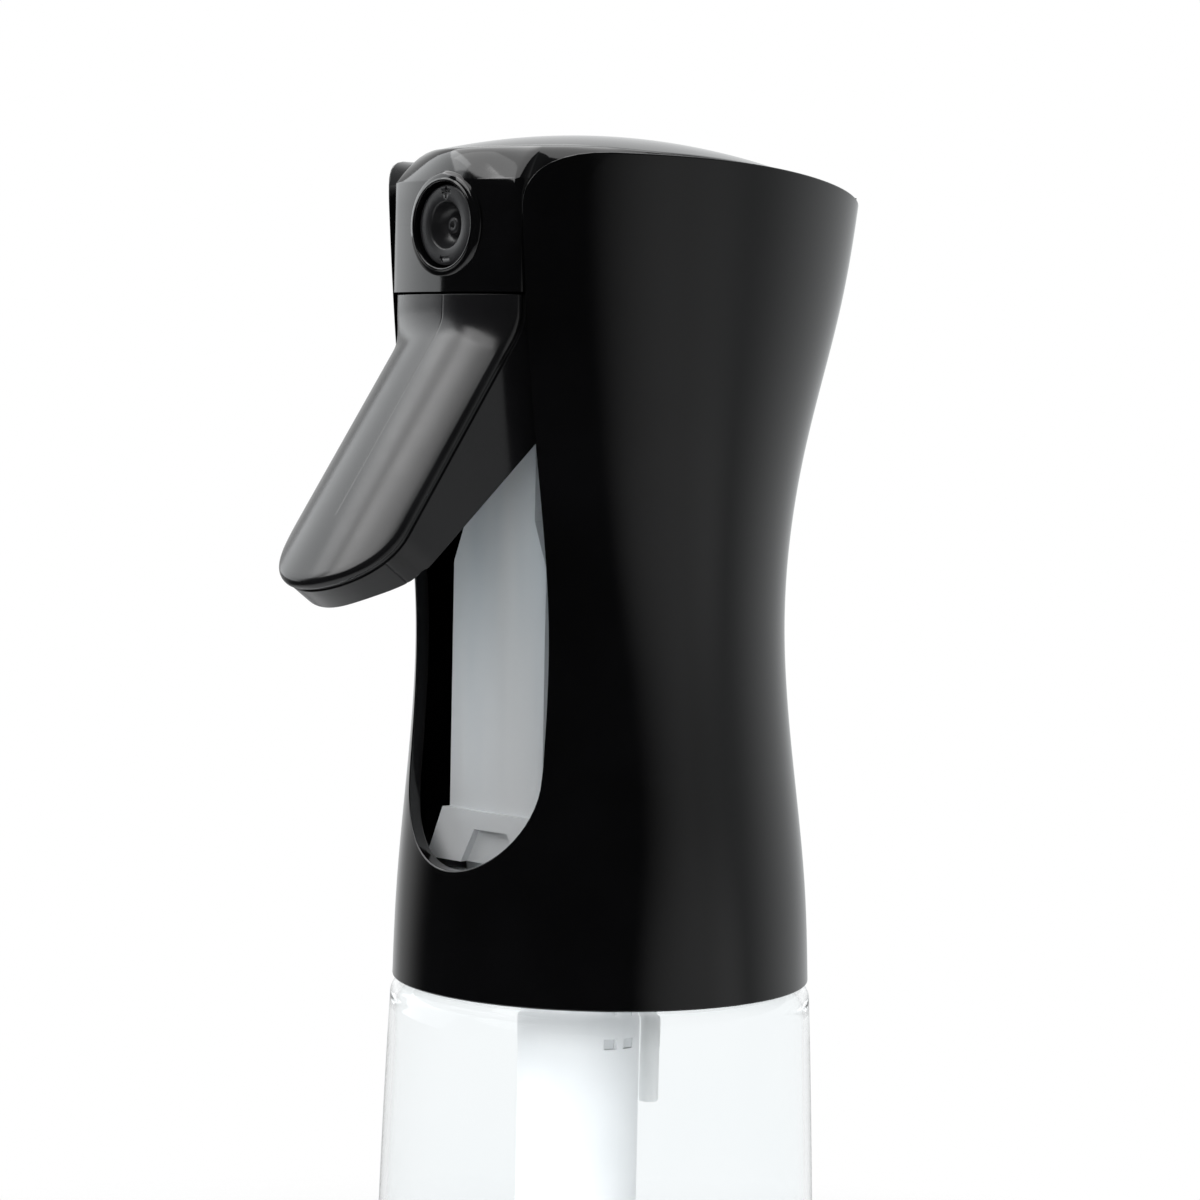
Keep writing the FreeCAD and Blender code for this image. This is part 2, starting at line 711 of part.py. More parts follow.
# ---------------------------------------------------------------- nozzle
def make_nozzle_insert():
    body = doc.addObject("PartDesign::Body", "nozzle_insert")
    body.Placement = FreeCAD.Placement(V(), FreeCAD.Rotation(V(1, 0, 0), 90))
    place(body, y="nozzle_length - nozzle_front", z="rim_z + nozzle_z")
    revolve(body, "cap", [
        ("nozzle_socket", "0"),
        ("nozzle_r", "0"),
        ("nozzle_r", "nozzle_length - 0.5", 1, "0.5"),
        ("nozzle_r - 0.5", "nozzle_length"),
        ("orifice_r", "nozzle_length"),
        ("orifice_r", "socket_depth"),
        ("nozzle_socket", "socket_depth"),
    ])
    side = "hex_corner / 2"
    rise = "hex_corner * 0.866025"
    pocket(body, "hex", "XY", "2 * hex_depth", "nozzle_length", [
        ("hex_corner", "0"), (side, rise), ("-" + side, rise),
        ("-hex_corner", "0"), ("-" + side, "-" + rise), (side, "-" + rise),
    ])
    half, line = "mark_half", "mark_line"
    pocket(body, "plus", "XY", "2 * mark_depth", "nozzle_length", [
        ("-" + half, "mark_offset - mark_line"), ("-" + line, "mark_offset - mark_line"),
        ("-" + line, "mark_offset - mark_half"), (line, "mark_offset - mark_half"),
        (line, "mark_offset - mark_line"), (half, "mark_offset - mark_line"),
        (half, "mark_offset + mark_line"), (line, "mark_offset + mark_line"),
        (line, "mark_offset + mark_half"), ("-" + line, "mark_offset + mark_half"),
        ("-" + line, "mark_offset + mark_line"), ("-" + half, "mark_offset + mark_line"),
    ])
    pocket(body, "minus", "XY", "2 * mark_depth", "nozzle_length",
           rectangle("-" + half, "-mark_offset - mark_line", half, "-mark_offset + mark_line"))
    finish(body, "nozzle_insert")


def make_nozzle_seal():
    ring = named("Torus", "nozzle_o_ring")
    ring.Placement = FreeCAD.Placement(V(), FreeCAD.Rotation(V(1, 0, 0), 90))
    ring.setExpression("Radius1", bind("pipe_r - seal_sink"))
    ring.setExpression("Radius2", bind("seal_wire"))
    place(ring, y="-(pipe_end - seal_back)", z="rim_z + nozzle_z")
    finish(ring, "nozzle_o_ring")


def make_swirl_core():
    core = cylinder("swirl_blank", "pipe_bore - press_gap", "swirl_length", y="swirl_length - pipe_end",
                    z="rim_z + nozzle_z", axis="-Y")
    flats = []
    for side in (-1, 1):
        low = ("%d * swirl_flat - 0.5" % side, "-pipe_end - 1", "rim_z + nozzle_z - 2")
        high = ("%d * swirl_flat + 0.5" % side, "-pipe_end + swirl_length + 1", "rim_z + nozzle_z + 2")
        flats.append(block("swirl_flat%d" % side, low, high))
    finish(cut("swirl_core", core, fuse("swirl_flats", *flats)), "swirl_core")


# ---------------------------------------------------------------- tubes and pressure buffer
def make_suction_sleeve():
    tube = cylinder("sleeve_blank", "sleeve_r", "sleeve_drop + sleeve_top", y="-riser_y",
                    z="rim_z - sleeve_drop")
    bore = cylinder("sleeve_hollow", "sleeve_bore", "sleeve_drop + sleeve_top + 2", y="-riser_y",
                    z="rim_z - sleeve_drop - 1")
    windows = clip_pair("clip_window", "sleeve_r + 1", "0")
    finish(cut("suction_sleeve", tube, fuse("sleeve_cuts", bore, *windows)), "suction_sleeve")


def make_dip_tube_holder():
    body = new_body("dip_tube_holder", y="-riser_y", z="rim_z - sleeve_drop")
    revolve(body, "cone", [
        ("dip_r + fit_gap", "-14"),
        ("dip_r + 1.1", "-14"),
        ("dip_r + 1.1", "-8"),
        ("sleeve_r - 0.6", "-1.8"),
        ("sleeve_r", "-1.2"),
        ("sleeve_r", "-fit_gap"),
        ("sleeve_bore - press_gap", "-fit_gap"),
        ("sleeve_bore - press_gap", "3.4"),
        ("sleeve_bore - 1.2", "3.4"),
        ("sleeve_bore - 1.2", "-1"),
        ("dip_bore", "-6.5"),
        ("dip_bore", "-8"),
        ("dip_r + fit_gap", "-8"),
    ])
    finish(body, "dip_tube_holder")


def make_tube(name, radius, bore, low, top, y):
    body = new_body(name, y=y)
    revolve(body, "wall", tube_loop(bore, radius, low, top))
    return body


def make_tubes():
    dip = make_tube("dip_tube", "dip_r", "dip_bore", "dip_end", "rim_z - sleeve_drop - 8.05", "-riser_y")
    slant = pocket(dip, "slant", "YZ", "12", "0", [
        ("-dip_r - 1", "dip_end - 1"),
        ("dip_r + 1", "dip_end - 1"),
        ("dip_r + 1", "dip_end + 3"),
    ])
    slant.Label = "dip_tube_slant"
    finish(dip, "dip_tube")
    vent = make_tube("vent_tube", "vent_r", "vent_bore",
                     "rim_z - vent_drop", "rim_z + flange_low + 2", "vent_y")
    trim = pocket(vent, "slant", "YZ", "8", "0", [
        ("-vent_r - 1", "rim_z - vent_drop - 1"),
        ("vent_r + 1", "rim_z - vent_drop - 1"),
        ("vent_r + 1", "rim_z - vent_drop + 0.9"),
    ])
    trim.Label = "vent_tube_slant"
    finish(vent, "vent_tube")
    finish(make_tube("buffer_cylinder", "buffer_r", "buffer_bore",
                     "rim_z - buffer_drop", "rim_z + buffer_top",
                     "-riser_y"), "buffer_cylinder")


def make_buffer_parts():
    cap = new_body("buffer_cap", y="-riser_y", z="rim_z - buffer_drop")
    revolve(cap, "plug", [
        ("1", "-1.6"),
        ("buffer_r", "-1.6"),
        ("buffer_r", "-fit_gap"),
        ("buffer_bore - press_gap", "-fit_gap"),
        ("buffer_bore - press_gap", "3"),
        ("1", "3"),
    ])
    finish(cap, "buffer_cap")
    piston = new_body("buffer_piston", y="-riser_y", z="rim_z - buffer_piston_top")
    length = "buffer_piston_top - buffer_piston_low"
    revolve(piston, "crown", [
        ("0", "0"),
        ("buffer_piston_r - 0.4", "0"),
        ("buffer_piston_r - 0.4", "-1.4"),
        ("buffer_piston_r - 1.2", "-1.4"),
        ("buffer_piston_r - 1.2", "-4"),
        ("buffer_piston_r", "-4"),
        ("buffer_piston_r", length + " + 3"),
        ("buffer_spring_r - buffer_spring_wire - 0.2", length + " + 3"),
        ("buffer_spring_r - buffer_spring_wire - 0.2", length),
        ("0", length),
    ])
    finish(piston, "buffer_piston")
    seal = new_body("buffer_piston_seal", y="-riser_y", z="rim_z - buffer_piston_top")
    revolve(seal, "ring", [
        ("buffer_piston_r - 1.18", "-3.95"),
        ("buffer_bore - 0.09", "-3.95"),
        ("buffer_bore - 0.6", "-2.7"),
        ("buffer_bore - 0.09", "-1.45"),
        ("buffer_piston_r - 1.18", "-1.45"),
    ])
    finish(seal, "buffer_piston_seal")


def make_spring(name, radius, wire, pitch, low, top, y):
    """Open coil between two heights above the rim."""
    body = new_body(name, y=y, z="rim_z")
    first = "(%s) + %s + 0.05" % (low, wire)
    rise = "(%s) - (%s) - 2 * %s - 0.1" % (top, low, wire)
    helix(body, "coil", pitch, rise, ("circle", radius, first, wire))
    finish(body, name)


# ---------------------------------------------------------------- pump
def make_pump_parts():
    piston = new_body("pump_piston", y="pump_y", z="rim_z")
    revolve(piston, "rod", [
        ("0", "piston_low"),
        ("piston_r", "piston_low"),
        ("piston_r", "piston_low + 1.4"),
        ("piston_r - 1.3", "piston_low + 1.4"),
        ("piston_r - 1.3", "piston_top - 1.2"),
        ("piston_r", "piston_top - 1.2"),
        ("piston_r", "piston_top"),
        ("rod_r", "piston_top"),
        ("rod_r", "crosshead_low"),
        ("crosshead_r", "crosshead_low"),
        ("crosshead_r", "rod_top"),
        ("0", "rod_top"),
    ])
    pocket(piston, "cross_bore", "YZ", "4 * crosshead_r", "0", ("circle", "0", "pivot_z", "pin_r + 0.02"))
    finish(piston, "pump_piston")
    seal = new_body("pump_piston_seal", y="pump_y", z="rim_z")
    revolve(seal, "ring", [
        ("piston_r - 1.28", "piston_low + 1.45"),
        ("pump_bore - 0.08", "piston_low + 1.45"),
        ("pump_bore - 0.7", "piston_low + 2.6"),
        ("pump_bore - 0.08", "piston_top - 1.25"),
        ("piston_r - 1.28", "piston_top - 1.25"),
    ])
    finish(seal, "pump_piston_seal")
    gland = new_body("pump_gland", y="pump_y", z="rim_z")
    revolve(gland, "plug", [
        ("rod_r + running_gap", "gland_low"),
        ("pump_bore - press_gap", "gland_low"),
        ("pump_bore - press_gap", "pump_top + fit_gap"),
        ("pump_r", "pump_top + fit_gap"),
        ("pump_r", "gland_top"),
        ("rod_r + 1.6", "gland_top"),
        ("rod_r + 1.6", "gland_top - 2"),
        ("rod_r + running_gap", "gland_top - 2"),
    ])
    finish(gland, "pump_gland")
    wiper = new_body("rod_seal", y="pump_y", z="rim_z")
    revolve(wiper, "ring", tube_loop("rod_r + running_gap", "rod_r + 1.55",
                                     "gland_top - 1.95", "gland_top - 0.2"))
    finish(wiper, "rod_seal")
    pin = cylinder("crosshead_pin", "pin_r", "2 * pin_half", x="-pin_half", y="pump_y",
                   z="rim_z + pivot_z", axis="X")
    finish(pin, "crosshead_pin")


def make_valves():
    for side, name in ((-1, "inlet"), (1, "outlet")):
        ball = named("Sphere", name + "_valve_ball")
        ball.setExpression("Radius", bind("ball_r"))
        drop = "sqrt(ball_r ^ 2 - (valve_bore / 2) ^ 2) + 0.03"
        place(ball, "%d * valve_x" % side, "pump_y", "rim_z + valve_seat + " + drop)
        finish(ball, name + "_valve_ball")
    plugs = []
    for side in (-1, 1):
        x = "%d * valve_x" % side
        head = cylinder("valve_plug_head%d" % side, "valve_x - pump_r - 0.2", "plug_head", x, "pump_y",
                        "rim_z + valve_top + fit_gap")
        stop = "valve_seat + 2 * ball_r + ball_lift"
        stem = cylinder("valve_plug_stem%d" % side, "valve_bore - press_gap", "valve_top + 0.5 - (%s)" % stop,
                        x, "pump_y", "rim_z + " + stop)
        plugs.append(fuse("valve_plug%d" % side, head, stem))
    pair = named("Compound", "valve_plugs")
    pair.Links = plugs
    finish(pair, "valve_plugs")


# ---------------------------------------------------------------- trigger
def tongue_solid(name, inset, bulge_inset):
    """Leaning finger pad in its own upright frame: tip at z = 0, rim plane at y = 0."""
    half = "tongue_half - (%s)" % inset
    curve = "((tongue_half ^ 2 + tongue_bulge ^ 2) / (2 * tongue_bulge)) - (%s)" % bulge_inset
    pad = cylinder(name + "_pad", curve, "60",
                   y="((tongue_half ^ 2 + tongue_bulge ^ 2) / (2 * tongue_bulge)) - tongue_bulge", z="-5")
    plan = prism(name + "_plan", "XZ", "60", "0", [
        ("-(%s)" % half, "tongue_half", 1, half),
        ("0", "tongue_half - (%s)" % half, 1, half),
        (half, "tongue_half"),
        (half, "tongue_length"),
        ("-(%s)" % half, "tongue_length"),
    ])
    return common(name, pad, plan)


def make_tongue():
    outer = tongue_solid("tongue_outer", "0", "0")
    inner = tongue_solid("tongue_inner", "tongue_wall", "tongue_wall")
    shell = cut("tongue_shell", outer, inner)
    back = prism("tongue_back", "YZ", "30", "0", [
        ("-5", "-5"),
        ("lip_depth", "-5"),
        ("lip_depth", "0"),
        ("side_depth", "7.5"),
        ("top_depth", "tongue_length"),
        ("-5", "tongue_length"),
    ])
    tongue = common("tongue_upright", shell, back)
    tongue.Placement = FreeCAD.Placement(V(), FreeCAD.Rotation(V(1, 0, 0), -value("tongue_lean")))
    return place(tongue, y="-tip_y", z="rim_z + tip_z")


def make_cheek(side):
    inner, outer = "arm_inner", "arm_outer"
    middle = "%d * ((%s + %s) / 2)" % (side, inner, outer)
    reach = "pump_y + 4.2"
    profile = [
        ("-block_y + 0.6", "rim_z + block_low - 1"),
        ("-block_y + 0.6", "rim_z + block_top"),
        ("-14", "rim_z + block_top"),
        ("-9", "rim_z + pivot_z + arm_half_height"),
        (reach, "rim_z + pivot_z + arm_half_height"),
        (reach, "rim_z + pivot_z - arm_half_height"),
        ("-10", "rim_z + pivot_z - arm_half_height"),
        ("-14.5", "rim_z + 79.5"),
        ("-19.6", "rim_z + 77.8"),
    ]
    plate = prism("cheek%d" % side, "YZ", "%s - %s" % (outer, inner), middle, profile)
    slot_r = "pin_r + slot_gap"
    travel = "pump_y + slot_run"
    slot = prism("arm_slot%d" % side, "YZ", "6", middle, [
        ("pump_y", "rim_z + pivot_z - (%s)" % slot_r),
        (travel, "rim_z + pivot_z - (%s)" % slot_r, 1, slot_r),
        (travel + " + " + slot_r, "rim_z + pivot_z", 1, slot_r),
        (travel, "rim_z + pivot_z + " + slot_r),
        ("pump_y", "rim_z + pivot_z + " + slot_r, 1, slot_r),
        ("pump_y - (%s)" % slot_r, "rim_z + pivot_z", 1, slot_r),
    ])
    return cut("arm%d" % side, plate, slot)


def make_trigger():
    head = block("trigger_block", ("-block_half", "-block_y", "rim_z + block_low"),
                 ("block_half", "-(block_y - block_wall)", "rim_z + block_top"))
    mass = fuse("trigger_mass", make_tongue(), head, make_cheek(-1), make_cheek(1))
    bore = cylinder("trigger_bore", "pin_r + running_gap", "2 * tongue_half + 4", "-tongue_half - 2",
                    "-pivot_y", "rim_z + pivot_z", axis="X")
    finish(cut("trigger", mass, bore), "trigger")
    pin = cylinder("trigger_pin", "pin_r", "2 * pin_half", "-pin_half", "-pivot_y",
                   "rim_z + pivot_z", axis="X")
    finish(pin, "trigger_pin")


make_bottle()
make_gasket()
make_shroud()
make_head_cover()
make_pump_body()
make_nozzle_insert()
make_nozzle_seal()
make_swirl_core()
make_suction_sleeve()
make_dip_tube_holder()
make_tubes()
make_buffer_parts()
make_spring("buffer_spring", "buffer_spring_r", "buffer_spring_wire", "buffer_spring_pitch",
            "3 - buffer_drop", "3 - buffer_piston_low", "-riser_y")
make_pump_parts()
make_spring("pump_spring", "pump_spring_r", "pump_spring_wire", "pump_spring_pitch",
            "piston_top", "gland_low", "pump_y")
make_valves()
make_trigger()
doc.recompute()

# ---------------------------------------------------------------- checks and files
for item in doc.Objects:
    if "Invalid" in item.State or "Error" in item.State:
        raise SystemExit("failed object: %s %s" % (item.Name, item.State))
for piece in nodes:
    if piece.Shape.isNull() or not piece.Shape.isValid():
        raise SystemExit("bad shape: " + piece.Label)

os.makedirs("parts", exist_ok=True)
for piece in nodes:
    piece.Shape.exportStep("parts/%s.step" % piece.Label)
    box = piece.Shape.BoundBox
    print("%-20s solids %d volume %8.1f  x %6.1f %6.1f  y %6.1f %6.1f  z %6.1f %6.1f" % (
        piece.Label, len(piece.Shape.Solids), piece.Shape.Volume,
        box.XMin, box.XMax, box.YMin, box.YMax, box.ZMin, box.ZMax))
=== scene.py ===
"""Looks of the hand mister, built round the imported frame.  Metres; working sizes are in millimetres."""

import json
import math

import bmesh
import bpy
import numpy as np
from mathutils import Matrix, Vector


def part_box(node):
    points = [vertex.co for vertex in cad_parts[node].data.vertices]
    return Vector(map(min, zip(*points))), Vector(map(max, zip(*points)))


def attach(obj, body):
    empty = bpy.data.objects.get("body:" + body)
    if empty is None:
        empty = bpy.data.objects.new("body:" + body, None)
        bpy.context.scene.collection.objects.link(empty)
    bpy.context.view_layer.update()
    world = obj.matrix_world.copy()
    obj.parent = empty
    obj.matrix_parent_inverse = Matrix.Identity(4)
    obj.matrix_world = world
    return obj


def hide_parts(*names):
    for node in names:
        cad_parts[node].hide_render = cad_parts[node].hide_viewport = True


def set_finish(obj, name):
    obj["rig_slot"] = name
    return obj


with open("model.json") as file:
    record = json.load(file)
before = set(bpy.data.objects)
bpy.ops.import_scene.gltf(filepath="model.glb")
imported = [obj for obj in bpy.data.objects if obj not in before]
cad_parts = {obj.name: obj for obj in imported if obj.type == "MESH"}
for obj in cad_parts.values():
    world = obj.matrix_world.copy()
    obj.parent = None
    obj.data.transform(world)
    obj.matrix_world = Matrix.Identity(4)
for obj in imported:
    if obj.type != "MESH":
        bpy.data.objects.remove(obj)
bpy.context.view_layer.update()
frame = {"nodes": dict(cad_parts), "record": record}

MM = 0.001
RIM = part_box("shroud")[0].z / MM    # the shroud's lower rim; heights below count from it


def middle_of(cad_name, axis):
    """Middle of a CAD part's box along an axis (1 is Y, 2 is Z), in millimetres."""
    return sum(corner[axis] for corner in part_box(cad_name)) / 2 / MM


PIVOT_Y = middle_of("trigger_pin", 1)
PIVOT_Z = middle_of("trigger_pin", 2) - RIM
CROSSHEAD_Y = middle_of("crosshead_pin", 1)
NOZZLE_Z = middle_of("nozzle_insert", 2) - RIM


# ---------------------------------------------------------------- mesh helpers
def link_object(name, data):
    item = bpy.data.objects.new(name, data)
    bpy.context.scene.collection.objects.link(item)
    return item


def mesh_object(name, work):
    """Turn a bmesh in metres into a linked object."""
    mesh = bpy.data.meshes.new(name)
    work.to_mesh(mesh)
    work.free()
    return link_object(name, mesh)


def build(name, points, faces, body, slot, *replaced):
    """A mesh object from points in millimetres (heights above the rim), riding on a CAD body."""
    mesh = bpy.data.meshes.new(name)
    mesh.from_pydata([(x * MM, y * MM, (z + RIM) * MM) for x, y, z in points], [], faces)
    work = bmesh.new()
    work.from_mesh(mesh)
    bmesh.ops.remove_doubles(work, verts=work.verts, dist=1e-7)
    bmesh.ops.dissolve_degenerate(work, edges=work.edges, dist=1e-8)
    bmesh.ops.recalc_face_normals(work, faces=work.faces)
    work.to_mesh(mesh)
    work.free()
    mesh.shade_smooth()
    piece = link_object(name, mesh)
    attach(piece, body)
    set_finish(piece, slot)
    if replaced:
        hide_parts(*replaced)
    return piece


def quads(rows, first=0, closed=False, flip=False):
    """Faces between successive rows of equal length, numbered from `first`."""
    wide = len(rows[0])
    faces = []
    for r in range(len(rows) - 1):
        for c in range(wide if closed else wide - 1):
            a = first + r * wide + c
            b = first + r * wide + (c + 1) % wide
            face = (a, b, b + wide, a + wide)
            faces.append(face[::-1] if flip else face)
    return faces


def mirrored(points, faces):
    """The same points and faces with their mirror image across X = 0."""
    count = len(points)
    other = [(-x, y, z) for x, y, z in points]
    return points + other, faces + [tuple(i + count for i in reversed(face)) for face in faces]


def bevel(piece, width, segments=3, angle=38):
    """Round the sharp edges of a piece; width in millimetres, angle in degrees."""
    rounding = piece.modifiers.new("rounded_edges", "BEVEL")
    rounding.width = width * MM
    rounding.segments = segments
    rounding.limit_method = "ANGLE"
    rounding.angle_limit = math.radians(angle)
    rounding.harden_normals = True
    rounding.use_clamp_overlap = True
    return rounding


def lathe(profile, segments=128, closed=True):
    """Points and faces of (radius, height) corners turned about the Z axis."""
    turned = list(profile) + ([profile[0]] if closed else [])
    turns = [2 * math.pi * i / segments for i in range(segments)]
    rows = [[(radius * math.sin(t), -radius * math.cos(t), height) for t in turns] for radius, height in turned]
    points = [point for row in rows for point in row]
    return points, quads(rows, closed=True)


def arc(cx, cy, radius, start, stop, steps):
    """Points on a circle, angles in degrees."""
    turns = [math.radians(start + (stop - start) * i / steps) for i in range(steps + 1)]
    return [(cx + radius * math.cos(t), cy + radius * math.sin(t)) for t in turns]


def blend(a, b, share):
    """The value a share of the way from a to b."""
    return a + (b - a) * share


def ease(share):
    """Slow start and slow end between 0 and 1."""
    share = min(max(share, 0.0), 1.0)
    return share * share * (3 - 2 * share)


# ---------------------------------------------------------------- camera
AZIMUTH = math.radians(47.0)        # round from the nozzle's front
PITCH = math.radians(3.635)         # looking down
ROLL = math.radians(1.132)
DISTANCE = 470.5                    # from the axis, level
EYE = 80.7                          # height above the rim
SIDESTEP = 0.991
LENS_RATIO = 3509.0 / 1200.0        # focal length over the frame's width
SENSOR = 36.0

right = Vector((math.cos(AZIMUTH), math.sin(AZIMUTH), 0))
ahead = Vector((-math.sin(AZIMUTH) * math.cos(PITCH), math.cos(AZIMUTH) * math.cos(PITCH), -math.sin(PITCH)))
up = right.cross(ahead)
rolled_right = right * math.cos(ROLL) + up * math.sin(ROLL)
rolled_up = up * math.cos(ROLL) - right * math.sin(ROLL)
spot = Vector((DISTANCE * math.sin(AZIMUTH), -DISTANCE * math.cos(AZIMUTH), EYE + RIM)) - right * SIDESTEP
camera_data = bpy.data.cameras.new("camera")
camera_data.lens = SENSOR * LENS_RATIO
camera_data.sensor_width = SENSOR
camera_data.clip_start = 0.01
camera = link_object("camera", camera_data)
aim = Matrix((rolled_right, rolled_up, -ahead)).transposed().to_4x4()
camera.matrix_world = Matrix.Translation(spot * MM) @ aim
bpy.context.scene.camera = camera


# ---------------------------------------------------------------- materials
def new_material(name):
    """A fresh node material: the material, its tree and its shader."""
    material = bpy.data.materials.new(name)
    material.use_nodes = True
    return material, material.node_tree, material.node_tree.nodes["Principled BSDF"]


def node(tree, kind, **settings):
    """Add a node and set its sockets or properties by name."""
    item = tree.nodes.new(kind)
    for key, setting in settings.items():
        if key in item.inputs:
            item.inputs[key].default_value = setting
        else:
            setattr(item, key, setting)
    return item


def noise(tree, scale, detail=3.0, roughness=0.5, stretch=(1, 1, 1)):
    """Noise over object coordinates; scale is in cycles per metre."""
    place = node(tree, "ShaderNodeTexCoord")
    mapping = node(tree, "ShaderNodeMapping")
    mapping.inputs["Scale"].default_value = stretch
    tree.links.new(place.outputs["Object"], mapping.inputs["Vector"])
    texture = node(tree, "ShaderNodeTexNoise", Scale=scale, Detail=detail, Roughness=roughness)
    tree.links.new(mapping.outputs["Vector"], texture.inputs["Vector"])
    return texture.outputs["Fac"]


def ranged(tree, source, low, high, start=0.3, stop=0.7):
    """Map a texture value from start..stop to low..high."""
    item = node(tree, "ShaderNodeMapRange")
    item.inputs["From Min"].default_value = start
    item.inputs["From Max"].default_value = stop
    item.inputs["To Min"].default_value = low
    item.inputs["To Max"].default_value = high
    tree.links.new(source, item.inputs["Value"])
    return item.outputs["Result"]


def tinted(tree, shader, source, dark, light):
    """Colour that wanders between two close shades."""
    ramp = node(tree, "ShaderNodeValToRGB")
    ramp.color_ramp.elements[0].position = 0.35
    ramp.color_ramp.elements[0].color = (*dark, 1)
    ramp.color_ramp.elements[1].position = 0.65
    ramp.color_ramp.elements[1].color = (*light, 1)
    tree.links.new(source, ramp.inputs["Fac"])
    tree.links.new(ramp.outputs["Color"], shader.inputs["Base Color"])


def bumped(tree, shader, source, distance, after=None):
    """Bump whose full height is `distance` metres."""
    bump = node(tree, "ShaderNodeBump", Strength=1.0, Distance=distance)
    tree.links.new(source, bump.inputs["Height"])
    if after:
        tree.links.new(after, bump.inputs["Normal"])
    tree.links.new(bump.outputs["Normal"], shader.inputs["Normal"])
    return bump.outputs["Normal"]


def plastic(name, dark, light, rough, grain, waviness, ior=1.49):
    """Moulded plastic: slow colour drift, uneven gloss, fine grain and a slow ripple."""
    material, tree, shader = new_material(name)
    tinted(tree, shader, noise(tree, 60, 4), dark, light)
    tree.links.new(ranged(tree, noise(tree, 140, 5, 0.6), *rough), shader.inputs["Roughness"])
    shader.inputs["IOR"].default_value = ior
    ripple = bumped(tree, shader, noise(tree, 45, 1), waviness)
    bumped(tree, shader, noise(tree, 2600, 2), grain, ripple)
    return material


def see_through(tree, share, shader, colour=(1, 1, 1, 1)):
    """Mix a plain transparent shader in over the material by a share socket."""
    clear = node(tree, "ShaderNodeBsdfTransparent")
    clear.inputs["Color"].default_value = colour
    mix = node(tree, "ShaderNodeMixShader")
    tree.links.new(share, mix.inputs["Fac"])
    tree.links.new(shader.outputs["BSDF"], mix.inputs[1])
    tree.links.new(clear.outputs["BSDF"], mix.inputs[2])
    tree.links.new(mix.outputs["Shader"], tree.nodes["Material Output"].inputs["Surface"])


def white_plastic():
    material = plastic("white_plastic", (0.80, 0.81, 0.82), (0.87, 0.875, 0.88), (0.38, 0.5), 3e-6, 6e-6)
    shader = material.node_tree.nodes["Principled BSDF"]
    shader.inputs["Subsurface Weight"].default_value = 0.15
    shader.inputs["Subsurface Radius"].default_value = (0.002, 0.002, 0.002)
    return material


def frosted():
    """Natural polypropylene, cloudy; light passes through and scatters. Paler towards its foot: painted light
    on the lower part, set against the shade under the cover above.
    """
    material, tree, shader = new_material("frosted")
    tinted(tree, shader, noise(tree, 70, 3, 0.6, (1, 1, 0.12)), (0.66, 0.74, 0.79), (0.84, 0.88, 0.90))
    place = node(tree, "ShaderNodeTexCoord")
    split = node(tree, "ShaderNodeSeparateXYZ")
    tree.links.new(place.outputs["Object"], split.inputs["Vector"])
    # painted light: below this height the colour is mixed towards near-white, fading out over the next 38 mm
    # above it
    painted_light_z, fade = (RIM + 18) * MM, 0.038
    foot = ranged(tree, split.outputs["Z"], 0.85, 0.0, painted_light_z, painted_light_z + fade)
    mix = node(tree, "ShaderNodeMix", data_type="RGBA")
    tree.links.new(foot, mix.inputs["Factor"])
    tree.links.new(shader.inputs["Base Color"].links[0].from_socket, mix.inputs["A"])
    mix.inputs["B"].default_value = (0.90, 0.91, 0.92, 1)
    tree.links.new(mix.outputs["Result"], shader.inputs["Base Color"])
    tree.links.new(ranged(tree, noise(tree, 160, 4), 0.3, 0.45), shader.inputs["Roughness"])
    shader.inputs["IOR"].default_value = 1.49
    shader.inputs["Transmission Weight"].default_value = 0.25
    bumped(tree, shader, noise(tree, 1500, 2), 4e-6)
    return material


def milky():
    """Soft polyethylene tube."""
    material, tree, shader = new_material("milky")
    tinted(tree, shader, noise(tree, 120, 3), (0.86, 0.865, 0.86), (0.90, 0.905, 0.90))
    tree.links.new(ranged(tree, noise(tree, 200, 3), 0.3, 0.42), shader.inputs["Roughness"])
    shader.inputs["Transmission Weight"].default_value = 0.12
    shader.inputs["IOR"].default_value = 1.5
    bumped(tree, shader, noise(tree, 900, 2), 3e-6)
    return material


def clear_pet():
    """Blown clear bottle wall; shadow rays pass, so what stands inside is lit."""
    material, tree, shader = new_material("clear_pet")
    tinted(tree, shader, noise(tree, 30, 2), (0.955, 0.974, 0.980), (0.968, 0.983, 0.988))
    tree.links.new(ranged(tree, noise(tree, 80, 3), 0.015, 0.05), shader.inputs["Roughness"])
    shader.inputs["IOR"].default_value = 1.2
    shader.inputs["Transmission Weight"].default_value = 1.0
    bumped(tree, shader, noise(tree, 38, 1, 0.5, (1, 1, 0.4)), 2.5e-5)
    path = node(tree, "ShaderNodeLightPath")
    see_through(tree, path.outputs["Is Shadow Ray"], shader, (0.93, 0.95, 0.97, 1))
    return material


def steel():
    """Drawn spring wire."""
    material, tree, shader = new_material("steel")
    tinted(tree, shader, noise(tree, 300, 4), (0.50, 0.50, 0.52), (0.62, 0.62, 0.64))
    shader.inputs["Metallic"].default_value = 1.0
    tree.links.new(ranged(tree, noise(tree, 900, 5, 0.6, (1, 1, 6)), 0.18, 0.34), shader.inputs["Roughness"])
    bumped(tree, shader, noise(tree, 2200, 3, 0.6, (1, 1, 5)), 2e-6)
    return material


